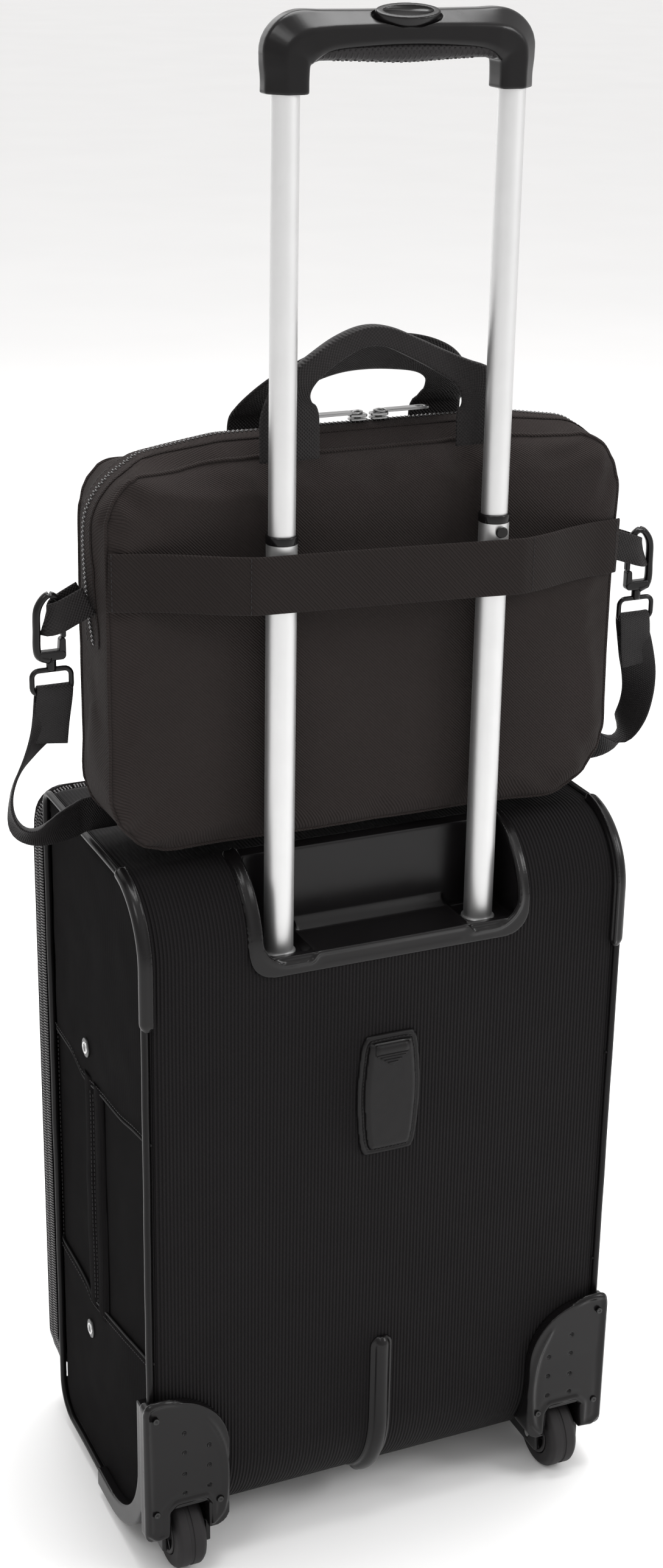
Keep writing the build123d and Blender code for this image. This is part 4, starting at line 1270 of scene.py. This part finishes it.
def build_pockets():
    pocket = copied("pocket_cloth", "lid_pockets")
    swollen(pocket, 4.0, 0.8, 4.0)
    doubled(pocket, "overlay")
    place(pocket, "lid", "overlay_cloth", "lid_pockets")
    rows = []
    for z in ((62, 326), (348, 486)):
        ring = box_outline((-141, 141), (z[0] + 5, z[1] - 5), 12)
        path = spaced(at_depth(ring, 232.0), 4.0, True)
        spots = cling(path, pocket, 0.2)[0]
        rows.append(stitches("seam", spots, (0, 1, 0), LOOK["thread"], True))
    place(joined("pocket_stitches", rows, LOOK["thread"]), "lid", "overlay_cloth")


def coil(name, path, across, up, material):
    """Two interlocking rows of zip coil along a path."""
    points = spaced(path, 1.9)
    side = unit(np.broadcast_to(np.asarray(across, float), points.shape))
    up = np.broadcast_to(up, points.shape)
    return [beads(name, points[pick] + sign * side[pick] * 1.5, side[pick], up[pick], 2.2, 0.62,
                  material)
            for pick, sign in ((slice(0, None, 2), -1), (slice(1, None, 2), 1))]


def zip_path(inset, y, low=54.0):
    """The way of the main zip: up one side, over the top and down the other."""
    wide = LID_HALF - inset
    top = LID_Z[1] - inset
    corner = rounded([(7 - wide, low - 6, 0), (-wide, low + 18, 20), (-wide, top, 22 - inset),
                      (wide, top, 22 - inset),
                      (wide, low + 18, 20), (wide - 7, low - 6, 0)], 6)
    return at_depth(corner, y)


def build_main_zip():
    """Heavy coil zip in the gap between case and lid, turned a little towards the back."""
    path = spaced(zip_path(-2.4, MAIN_ZIP_Y), 1.15)
    out = path - (0, MAIN_ZIP_Y, 300)
    out[:, 1] = 0
    out[abs(path[:, 0]) < LID_HALF - 24, 0] = 0
    out[path[:, 2] < LID_Z[1] - 26, 2] = 0
    out = unit(out)
    along_tape = 0.34 * out + (0, 0.94, 0)
    facing = 0.94 * out - (0, 0.34, 0)
    coarse = slice(None, None, 4)
    for row, (body, sign,
              nodes) in enumerate((("case", -1, ["main_zip"]), ("lid", 1, ["lid_zips"]))):
        middle = path + along_tape * 3.8 * sign
        tape = sweep(f"{body}_zip_tape", middle[coarse], flat(7.4, 0.9, 4), LOOK["tape"],
                     along_tape[coarse])
        place(tape, body, "coil_zip", *nodes)
        pick = np.arange(row, len(path), 2)
        centre = (path + along_tape * 2.3 * sign + facing * 1.1)[pick]
        teeth = beads(f"{body}_teeth", centre, along_tape[pick], facing[pick], 2.75, 0.92,
                      LOOK["coil"])
        place(teeth, body, "coil_zip")
        place(stitches(f"{body}_zip_seam", (path + along_tape * 6.2 * sign + facing * 0.6)[coarse],
                       (1, 0, 0),
                       LOOK["thread"]), body, "coil_zip")
    rows, tapes = [], []
    for z in POCKET_ZIPS.values():
        rows += coil("pocket_coil", [(-138, 219.0, z), (138, 219.0, z)], (0, 0, 1), (0, 1, 0),
                     LOOK["coil"])
        line = spaced([(-139, 217.8, z), (139, 217.8, z)], 12)
        tapes.append(sweep("tape", line, flat(15, 1.6, 4), LOOK["tape"],
                           np.broadcast_to((0, 0, 1.0), line.shape)))
    place(joined("pocket_zip_coils", rows, LOOK["coil"]), "lid", "coil_zip")
    place(joined("pocket_zip_tapes", tapes, LOOK["tape"]), "lid", "coil_zip")


def slider(name, centre, material, size=(12, 8, 4.4)):
    """A zip slider: waisted body with a bridge for its pull."""
    x, y, z = centre
    long, wide, high = size
    body = rounded([(x - long / 2, y - wide * 0.32, 1.5), (x - long * 0.1, y - wide / 2, 3),
                    (x + long / 2, y - wide / 2, 2),
                    (x + long / 2, y + wide / 2, 2), (x - long * 0.1, y + wide / 2, 3),
                    (x - long / 2, y + wide * 0.32, 1.5)])
    top = prism("top", body, "z", (z + high * 0.55, z + high), material, 0.45)
    base = prism("base", body, "z", (z, z + high * 0.3), material, 0.3)
    post = prism("post", box_outline((x - 2.2, x + 2.2), (y - 1.2, y + 1.2), 0.6), "z",
                 (z, z + high), material)
    arch = flowing([(x - 3.6, y, z + high - 0.3), (x - 2.2, y, z + high + 1.6),
                    (x + 1.5, y, z + high + 1.8),
                    (x + 3.4, y, z + high - 0.3)], 1.0)
    bridge = sweep("bridge", arch, flat(2.2, 1.0, 3), material, along_y(arch))
    return joined(name, [top, base, post, bridge], material)


def pull(name, start, toward, material, length=36.0, width=8.0):
    """A flat metal pull with an oval slot, hung on a wire loop."""
    x, y, z = start
    shape = rounded([(x + toward * 6, y - width * 0.42, 1.5),
                     (x + toward * 6, y + width * 0.42, 1.5),
                     (x + toward * length, y + width / 2, 3.4),
                     (x + toward * length, y - width / 2, 3.4)])
    plate = prism("plate", shape, "z", (z, z + 1.7), material)
    near, far = sorted((x + toward * (length - 8.5), x + toward * (length - 3)))
    carve(plate, prism("hole", box_outline((near, far), (y - 2.1, y + 2.1), 1.9), "z",
                       (z - 1, z + 3), None))
    modify(plate, "BEVEL", width=0.4 * MM, segments=2, limit_method="ANGLE", angle_limit=0.7)
    settle(plate)
    loop = flowing([(x + toward * 7, y - 2.6, z + 0.9), (x + toward * 2, y - 3.2, z + 0.9),
                    (x - toward * 1.6, y, z + 1.2),
                    (x + toward * 2, y + 3.2, z + 0.9), (x + toward * 7, y + 2.6, z + 0.9)], 0.8)
    wire = sweep("wire", loop, circle(0.75, 8), material)
    return joined(name, [plate, wire], material)


def build_lid_sliders():
    for name, z in POCKET_ZIPS.items():
        x = -124.0
        body = slider("s", (0, 0, 0), LOOK["gunmetal"], (12, 9, 5))
        turned(body, (x, 219.2, z), (-math.pi / 2, "X"))
        tab = pull("p", (0, 0, 0), 1, LOOK["gunmetal"], 30, 7.5)
        turned(tab, (x, 225.6, z), (math.pi / 2, "Y"), (math.pi / 2, "Z"))
        place(joined(f"pocket_pull_{name}", [body, tab], LOOK["gunmetal"]), f"pocket_slider_{name}",
              "zip_metal",
              f"pocket_slider_{name}")
    for side, name in ((-1, "left"), (1, "right")):
        body = slider("s", (side * 15, 191.4, 528.6), LOOK["gunmetal"], (13, 9, 4.4))
        place(rename(body, f"main_zip_slider_{name[0]}"), f"main_slider_{name}", "zip_metal",
              f"main_slider_{name}")
        tab = pull("p", (side * 14, 191.4, 533.3), side, LOOK["gunmetal"], 36, 7)
        place(rename(tab, f"main_zip_pull_{name[0]}"), f"main_pull_{name}", "zip_metal",
              f"main_pull_{name}")


def rename(obj, name):
    obj.name = name
    obj.data.name = name
    return obj


def build_top_handle():
    grip = copied("grab_handle", "top_handle")
    swollen(grip, 3.0, 0.6, 1.6, 2.0, 12)
    doubled(grip, "overlay")
    place(grip, "top_handle", "overlay_cloth", "top_handle")


# Briefcase

BAG_X = -3.0
BAG_HALF = 189.0
BAG_TOP = 820.0
BAG_LOW = 541.5
BAG_BACK_Y = 14.2
BAG_SEAMS_Y = (19.0, 79.0)
BAG_ZIP_Y = 47.0
BAG_SLIDER_Z = 820.9
BAG_PULL_Z = 824.9
HOOK_X = 214.0
HOOK_Y = 45.0


def bag_outline(inset):
    wide = BAG_HALF - inset
    return box_outline((BAG_X - wide, BAG_X + wide), (BAG_LOW + inset, BAG_TOP - inset), 54 - inset)


def build_bag():
    bag = copied("briefcase_shell", "bag_body")
    swollen(bag, 5.0, 2.0, 6.0)
    points = np.array([layout(vertex.co) for vertex in bag.data.vertices])
    seams = [seam_path(2.5, y) for y in BAG_SEAMS_Y]
    centre = np.array((BAG_X, 48.0, 680.0))
    for seam in seams:
        gap = nearest_line(seam, points)
        pull_in = 1.5 * np.exp(-(gap / 4.5) ** 2)
        points -= unit((points - centre) * (0.3, 1, 0.6)) * pull_in[:, None]
    ridge = points[(abs(points[:, 0] - BAG_X) < 60) & (abs(points[:, 1] - BAG_ZIP_Y) < 10), 2].max()
    crown = np.clip((points[:, 2] - ridge + 26) / 24, 0,
                    1) * np.exp(-((points[:, 1] - 48) / 22) ** 2)
    wide = np.clip((BAG_HALF - 30 - abs(points[:, 0] - BAG_X)) / 60, 0, 1)
    points[:, 2] += (BAG_TOP - 0.5 - ridge) * crown * wide
    points[:, 1] -= folds(points) * np.where(points[:, 1] < 45, 1, -1)
    flat_back = points[:, 1] < 30
    points[flat_back, 1] = np.maximum(points[flat_back, 1], BAG_BACK_Y)
    points[:, 2] = np.maximum(points[:, 2], 539.5)
    bag.data.vertices.foreach_set("co", np.array([at(point)[:] for point in points]).ravel())
    doubled(bag, "bag")
    place(bag, "bag", "bag_cloth", "bag_body")
    cords = []
    for seam in seams:
        path = cling(seam, bag, 0.4)[0]
        cords.append(sweep("cord", path, circle(1.35, 8), LOOK["bag"], closed=True))
    place(joined("briefcase_piping", cords, LOOK["bag"]), "bag", "bag_cloth")
    return bag


def folds(points):
    """Soft creases that run in from the corners and hang from the handle ends."""
    x, z = points[:, 0] - BAG_X, points[:, 2]
    height = np.zeros(len(points))
    for side in (-1, 1):
        for low in (BAG_LOW + 6, BAG_TOP - 6):
            dx, dz = x - side * (BAG_HALF - 6), z - low
            reach = np.hypot(dx, dz)
            turn = np.arctan2(dz, -side * dx)
            rays = np.sin(9 * turn + 2.1 * side + low * 0.01)
            height += 2.6 * np.exp(-((reach - 48) / 34) ** 2) * rays
        hang = np.exp(-((x - side * 68) / 34) ** 2) * np.clip((z - 745) / 55, 0, 1)
        height += 2.4 * hang * np.sin((x - side * 68) / 5.5 + (z - 800) / 21)
    inside_sides = np.clip((BAG_HALF - 4 - abs(x)) / 14, 0, 1)
    return height * inside_sides * np.clip((BAG_TOP - 5 - z) / 12, 0, 1)


def seam_path(inset, y):
    return at_depth(spaced(bag_outline(inset), 4.0, True), y)


def nearest_line(path, points):
    """Distance of each point from a closed run of 3-D points."""
    best = np.full(len(points), 1e9)
    for a, b in zip(path, np.roll(path, -1, 0)):
        run = b - a
        share = np.clip((points - a) @ run / max(run @ run, 1e-9), 0, 1)
        best = np.minimum(best, np.linalg.norm(points - a - share[:, None] * run, axis=1))
    return best


def draped(name, loop, offsets, obj, lift):
    """A tape whose rows, each shifted in y, lie on an object."""
    rows = np.array([cling(loop + (0, offset, 0), obj, lift)[0] for offset in offsets])
    index = np.arange(rows.shape[0] * rows.shape[1]).reshape(rows.shape[:2])
    faces = np.stack([index[:-1, :-1], index[1:, :-1], index[1:, 1:], index[:-1, 1:]],
                     -1).reshape(-1, 4)
    tape = outward(make(name, rows.reshape(-1, 3), faces, LOOK["bag"]))
    modify(tape, "SOLIDIFY", thickness=0.5 * MM, offset=0)
    return settle(tape)


def build_bag_zip(bag):
    ring = rounded([(BAG_X - BAG_HALF, 690, 0), (BAG_X - BAG_HALF, BAG_TOP, 54),
                    (BAG_X + BAG_HALF, BAG_TOP, 54),
                    (BAG_X + BAG_HALF, 690, 0)], 5)
    loop = spaced(at_depth(ring, BAG_ZIP_Y), 3.0)
    path = cling(loop, bag, 0.2)[0]
    path[:, 1] = BAG_ZIP_Y
    place(draped("briefcase_zip_tape", loop, np.linspace(-11, 11, 9), bag, 0.5), "bag", "coil_zip",
          "bag_zip")
    fine = spaced(path, 1.5)
    up = unit(np.column_stack([fine[:, 0] - BAG_X, np.zeros(len(fine)), fine[:, 2] - 700]))
    rows = []
    for first, shift in ((0, -1.1), (1, 1.1)):
        pick = np.arange(first, len(fine), 2)
        rows.append(beads("row", fine[pick] + up[pick] * 0.7 + (0, shift, 0), (0, 1, 0), up[pick],
                          1.7, 0.6, LOOK["coil"]))
    place(joined("briefcase_zip_coil", rows, LOOK["coil"]), "bag", "coil_zip")
    rows = []
    for shift in (-9.2, 9.2):
        rows.append(stitches("seam", cling(loop + (0, shift, 0), bag, 0.8)[0], up[0],
                             LOOK["thread"]))
    place(joined("briefcase_zip_stitches", rows, LOOK["thread"]), "bag", "coil_zip")
    for name, x, toward in (("left", -3.0, -1), ("right", 12.0, 1)):
        body = slider(f"briefcase_slider_{name[0]}", (x, BAG_ZIP_Y, BAG_SLIDER_Z), LOOK["gunmetal"],
                      (12, 8.5, 4.0))
        place(body, f"bag_slider_{name}", "zip_metal", f"bag_slider_{name}")
        tab = pull(f"briefcase_pull_{name[0]}", (x - toward * 1.5, BAG_ZIP_Y, BAG_PULL_Z), toward,
                   LOOK["gunmetal"], 37, 8.4)
        place(tab, f"bag_pull_{name}", "zip_metal", f"bag_pull_{name}")


def strap_along(name, stations, thick, material, step=4.0, columns=8):
    """A woven strap through (x, y, z, side x, side y, side z, width) stations."""
    path = flowing(np.array(stations, float), step)
    width = path[:, 6]
    section = flat(20.0, thick, columns)
    scale = np.column_stack([width / 20.0, np.ones(len(width))])
    return sweep(name, path[:, :3], section, material, path[:, 3:6], scale=scale)


def build_trolley_strap():
    """Broad band over the handle tubes, easing away from the bag towards them."""
    slope, level = -0.034, 732.5
    half = [(-185, 16.4), (-178, 14.2), (-162, 11.0), (-140, 3.0), (-118, -7.0), (-102, -12.6),
            (-92, -14.2), (-50, -13.7)]
    spots = half + [(0, -13.4)] + [(-6 - x, y) for x, y in half[::-1]]
    stations = [(x, y, level + slope * x, 0, 0, 1, 38) for x, y in spots]
    place(strap_along("trolley_sleeve", stations, 1.7, LOOK["strap"], 3.0, 10), "bag", "webbing",
          "trolley_strap")
    path = flowing(np.array(stations, float), 3.0)
    rows = []
    for x in (-183.0, -101, 99, 177):
        y = np.interp(x, path[:, 0], path[:, 1]) - 1.0
        z = level + slope * x
        rows.append(stitches("seam", [(x, y, z - 17), (x, y, z + 17)], (0, -1, 0), LOOK["thread"]))
    place(joined("sleeve_stitches", rows, LOOK["thread"]), "bag", "webbing")


LEAN = math.radians(39)


def build_handles():
    """Rear handle: broad ends gathered into a rolled band.  Front handle: one flat layer."""
    ends = [(15.6, 806, 41, 2.4), (16.2, 822, 41, 2.4), (16.5, 835, 40, 2.6)]
    rear = [(-63.5, y, z, 1, 0, 0, width, thick) for y, z, width, thick in ends]
    rear += [
        (-62.5, 16.8, 846, 0.96, 0, -0.28, 31, 4.0), (-57, 17, 855.5, 0.74, 0, -0.67, 20, 7.5),
        (-46, 17.3, 865, 0.6, 0, -0.8, 15.5, 9), (-30, 17.7, 875, 0.42, 0, -0.9, 14.2, 9.6),
        (-13, 18, 881, 0.1, 0, -0.99, 13.2, 10), (3, 18, 879.8, -0.2, 0, -0.98, 13, 10),
        (22, 17.8, 871.5, -0.4, 0, -0.9, 13.6, 9.8), (40, 17.4, 862.5, -0.45, 0, -0.9, 14.8, 8.8),
        (56, 17, 854, -0.6, 0, -0.8, 18, 6.5), (67, 16.8, 845.5, -0.88, 0, -0.46, 28, 3.8),
    ]
    rear += [(73, y, z, -1, 0, 0, width - 1, thick) for y, z, width, thick in ends[::-1]]
    path = flowing(np.array(rear, float), 2.5)
    scale = np.column_stack([path[:, 6] / 20, path[:, 7] / 3.0])
    handle = sweep("carry_handle_rear", path[:, :3], flat(20, 3.0, 12), LOOK["webbing"],
                   path[:, 3:6], scale=scale)
    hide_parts("bag_handle_rear")
    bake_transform(handle)
    local = [(-61, 0, 1, 0, 38), (-60, 10, 0.98, -0.15, 36), (-53, 27, 0.88, -0.46, 30),
             (-39, 43, 0.68, -0.73, 28),
             (-19, 55, 0.4, -0.9, 31), (4, 60, 0, -1, 35), (29, 57, -0.18, -0.98, 34),
             (50, 49, -0.5, -0.86, 30),
             (64, 36, -0.85, -0.5, 28), (70, 20, -0.98, -0.15, 31), (70, 9, -1, 0, 35),
             (69, 0, -1, 0, 38)]
    stations = [(-61, 82.4, 800, 1, 0, 0, 38)]
    for x, rise, sx, sr, width in local:
        stations.append((x, 80 - rise * math.sin(LEAN), 819 + rise * math.cos(LEAN), sx,
                         -sr * math.sin(LEAN),
                         sr * math.cos(LEAN), width))
    stations.append((69, 82.4, 800, -1, 0, 0, 38))
    front = strap_along("carry_handle_front", stations, 2.4, LOOK["webbing"], 2.5, 12)
    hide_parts("bag_handle_front")
    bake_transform(front)


def build_side_loops():
    """Webbing from the side seams, doubled through the eye of each hook."""
    loops = []
    for side in (-1, 1):
        start = BAG_X + side * (BAG_HALF - 2)
        path = [(start, 52, 722), (side * 207, 51, 714), (side * 214, 48.6, 711),
                (side * 217, 45, 710),
                (side * 214, 41.4, 711), (side * 207, 39, 714), (start, 38, 722)]
        stations = [(x, y, z, side * -0.35, 0, 1, 20) for x, y, z in path]
        loops.append(strap_along("loop", stations, 1.8, LOOK["webbing"], 2.0, 6))
    place(joined("side_loops", loops, LOOK["webbing"]), "bag", "webbing", "bag_webbing")


def build_hooks():
    for side, name in ((-1, "left"), (1, "right")):
        x, out = side * HOOK_X, side
        spine = flowing([(x + out * 1, HOOK_Y, 684), (x + out * 8.5, HOOK_Y, 688),
                         (x + out * 9, HOOK_Y, 703), (x + out * 8, HOOK_Y, 718),
                         (x + out * 1, HOOK_Y, 726.5), (x - out * 6.5, HOOK_Y, 722),
                         (x - out * 8.6, HOOK_Y, 716.5)], 1.5)
        scale = np.interp(np.linspace(0, 1, len(spine)), [0, 0.15, 0.6, 1], [1.25, 1.0, 0.95, 0.75])
        hook = sweep("hook", spine, circle(1, 10) * (2.7, 3.3), LOOK["gloss"], across_x(spine),
                     scale=scale)
        base = prism("base", box_outline((x - 9.5, x + 9.5), (683.5, 690), 3), "y", (41.6, 48.4),
                     LOOK["gloss"], 1.2)
        heel = prism("heel", rounded([(x - out * 9.5, 686, 2), (x - out * 9.5, 698, 2),
                                      (x - out * 5.5, 698, 2),
                                      (x - out * 4.5, 686, 2)]), "y", (42, 48), LOOK["gloss"], 0.8)
        barrel = sweep("barrel", spaced([(x, HOOK_Y, 676.5), (x, HOOK_Y, 684)], 1.5),
                       circle(3.3, 16), LOOK["gloss"])
        ring = box_outline((x - 13, x + 13), (661.5, 677), 4.5)
        ring = spaced(at_depth(ring, HOOK_Y), 1.5, True)
        ring = sweep("ring", ring, circle(1.75, 10), LOOK["gloss"], closed=True)
        place(joined(f"swivel_hook_{name[0]}", [hook, base, heel, barrel, ring], LOOK["gloss"]),
              "bag", "moulding",
              f"snap_hook_{name}")
        gate = prism(f"gate_{name[0]}", box_outline((x - out * 8.4 - 1.6, x - out * 8.4 + 1.6),
                                                    (697.5, 716.5), 1.5), "y",
                     (42.9, 47.1), LOOK["gloss"], 0.7)
        place(gate, f"hook_gate_{name}", "moulding", f"hook_gate_{name}")


STRAP_SIDE = [
    ((-214, 45, 652), (24, 0, 0)), ((-219, 45, 638), (22, 8, 0)), ((-229, 46, 621), (15, 18, -2)),
    ((-238, 48, 605), (9, 22, -3)), ((-241, 51, 590), (7, 23, -4)), ((-238, 56, 575), (5, 22, -7)),
    ((-229, 63, 562), (2, 19, -14)), ((-215, 73, 554), (0, 13, -20)),
    ((-200, 82, 552), (0, 5, -24)),
    ((-186, 88, 553), (0, 0, -25)), ((-168, 91, 555), (0, 0, -25)),
]
STRAP_OTHER_SIDE = [
    ((168, 91, 555), (0, 0, -25)), ((184, 88, 555), (0, 0, -25)), ((197, 81, 556), (0, 5, -24)),
    ((208, 72, 560), (-3, 12, -19)), ((217, 62, 570), (-6, 17, -14)),
    ((222, 54, 586), (-9, 20, -8)),
    ((223, 49, 603), (-12, 20, -3)), ((221, 46, 621), (-17, 15, -2)), ((217, 45, 638), (-22, 8, 0)),
    ((214, 45, 652), (-24, 0, 0)),
]
STRAP_ROUTE = STRAP_SIDE + [((-60, 91, 556), (0, 0, -25)),
                            ((60, 91, 556), (0, 0, -25))] + STRAP_OTHER_SIDE


def build_shoulder_strap():
    stations = [(*spot, *side, 25) for spot, side in STRAP_ROUTE]
    pieces = [strap_along("strap", stations, 1.7, LOOK["satin"], 4.0, 8)]
    for side in (-1, 1):
        path = [(1.6, 640), (2.6, 652), (3.0, 660), (2.0, 665.2), (0, 666.6), (-2.0, 665.2),
                (-3.0, 660), (-2.6, 652),
                (-1.6, 640), (-2.0, 628)]
        loop = [(side * (HOOK_X + (652 - z) * 0.12), HOOK_Y + y, z, 1, 0, 0, 24) for y, z in path]
        pieces.append(strap_along("loop", loop, 1.5, LOOK["satin"], 2.0, 8))
    place(joined("shoulder_strap_webbing", pieces, LOOK["satin"]), "bag", "webbing",
          "shoulder_strap")


# Studio

def light_the_room(tree):
    """Bright overhead, dimmer along the horizon, dimmest on the left."""
    split = tree.nodes.new("ShaderNodeSeparateXYZ")
    tree.links.new(tree.nodes.new("ShaderNodeTexCoord").outputs["Generated"], split.inputs[0])
    shares = []
    for axis, start, end, low, high in (("X", -0.9, 0.3, 0.7, 1.0), ("Z", 0.0, 0.8, 0.9, 1.05)):
        share = tree.nodes.new("ShaderNodeMapRange")
        for name, value in zip(("From Min", "From Max", "To Min", "To Max"),
                               (start, end, low, high)):
            share.inputs[name].default_value = value
        tree.links.new(split.outputs[axis], share.inputs["Value"])
        shares.append(share.outputs["Result"])
    product = tree.nodes.new("ShaderNodeMath")
    product.operation = "MULTIPLY"
    for share, socket in zip(shares, product.inputs):
        tree.links.new(share, socket)
    tree.links.new(product.outputs[0], tree.nodes["Background"].inputs["Strength"])
    tree.nodes["Background"].inputs["Color"].default_value = (1.0, 0.99, 0.985, 1)


def build_studio():
    floor = make("floor", [(-30000, -30000, 0), (30000, -30000, 0), (30000, 30000, 0),
                           (-30000, 30000, 0)], [(0, 1, 2, 3)])
    f = Finish("pale_floor", Specular_IOR_Level=0.2)
    f.colour(grey(0.91, 1.0, 1.0), grey(0.95, 1.0, 1.0), f.cloud(400))
    f.rough(0.7, 0.8, f.cloud(200))
    floor.data.materials.append(f.material)
    world = bpy.data.worlds.new("studio")
    bpy.context.scene.world = world
    world.use_nodes = True
    light_the_room(world.node_tree)
    bpy.context.scene.view_settings.view_transform = "Standard"
    lamps = [((2.3, -1.9, 2.2), 1.0, 32), ((-1.6, -1.2, 2.9), 0.8, 12), ((0.2, 0.3, 3.2), 1.6, 72),
             ((-0.6, 3.0, 1.8), 2.4, 24)]
    for index, (spot, size, power) in enumerate(lamps):
        lamp = bpy.data.lights.new(f"softbox_{index}", "AREA")
        lamp.size = size
        lamp.energy = power
        obj = bpy.data.objects.new(f"softbox_{index}", lamp)
        bpy.context.scene.collection.objects.link(obj)
        aim = Vector((0, 0, 0.55)) - Vector(spot)
        turn = aim.to_track_quat("-Z", "Y").to_matrix().to_4x4()
        obj.matrix_world = Matrix.Translation(Vector(spot)) @ turn


def build_camera():
    azimuth, pitch, roll = (math.radians(a) for a in (-24.165, 21.714, 0.962))
    back = Vector((math.sin(azimuth) * math.cos(pitch), -math.cos(azimuth) * math.cos(pitch),
                   math.sin(pitch)))
    across = (-back).cross(Vector((0, 0, 1))).normalized()
    upward = across.cross(-back)
    right = across * math.cos(roll) + upward * math.sin(roll)
    up = -across * math.sin(roll) + upward * math.cos(roll)
    data = bpy.data.cameras.new("camera")
    data.lens = 54.88
    data.sensor_width = 36
    data.sensor_fit = "AUTO"
    camera = bpy.data.objects.new("camera", data)
    bpy.context.scene.collection.objects.link(camera)
    turn = Matrix((right, up, back)).transposed().to_4x4()
    camera.matrix_world = Matrix.Translation(at((-638.4, -1338.3, 1173.7))) @ turn
    bpy.context.scene.camera = camera


build_camera()
build_studio()
dress_nodes()
build_wrap()
build_sides()
build_overlays()
build_rivets()
build_piping()
build_guards()
build_skid()
build_tray()
build_housings()
build_wheels()
build_screws()
build_grip()
build_rings()
build_tag()
build_lid()
build_pockets()
build_main_zip()
build_lid_sliders()
build_top_handle()
BRIEFCASE = build_bag()
build_bag_zip(BRIEFCASE)
build_trolley_strap()
build_handles()
build_side_loops()
build_hooks()
build_shoulder_strap()
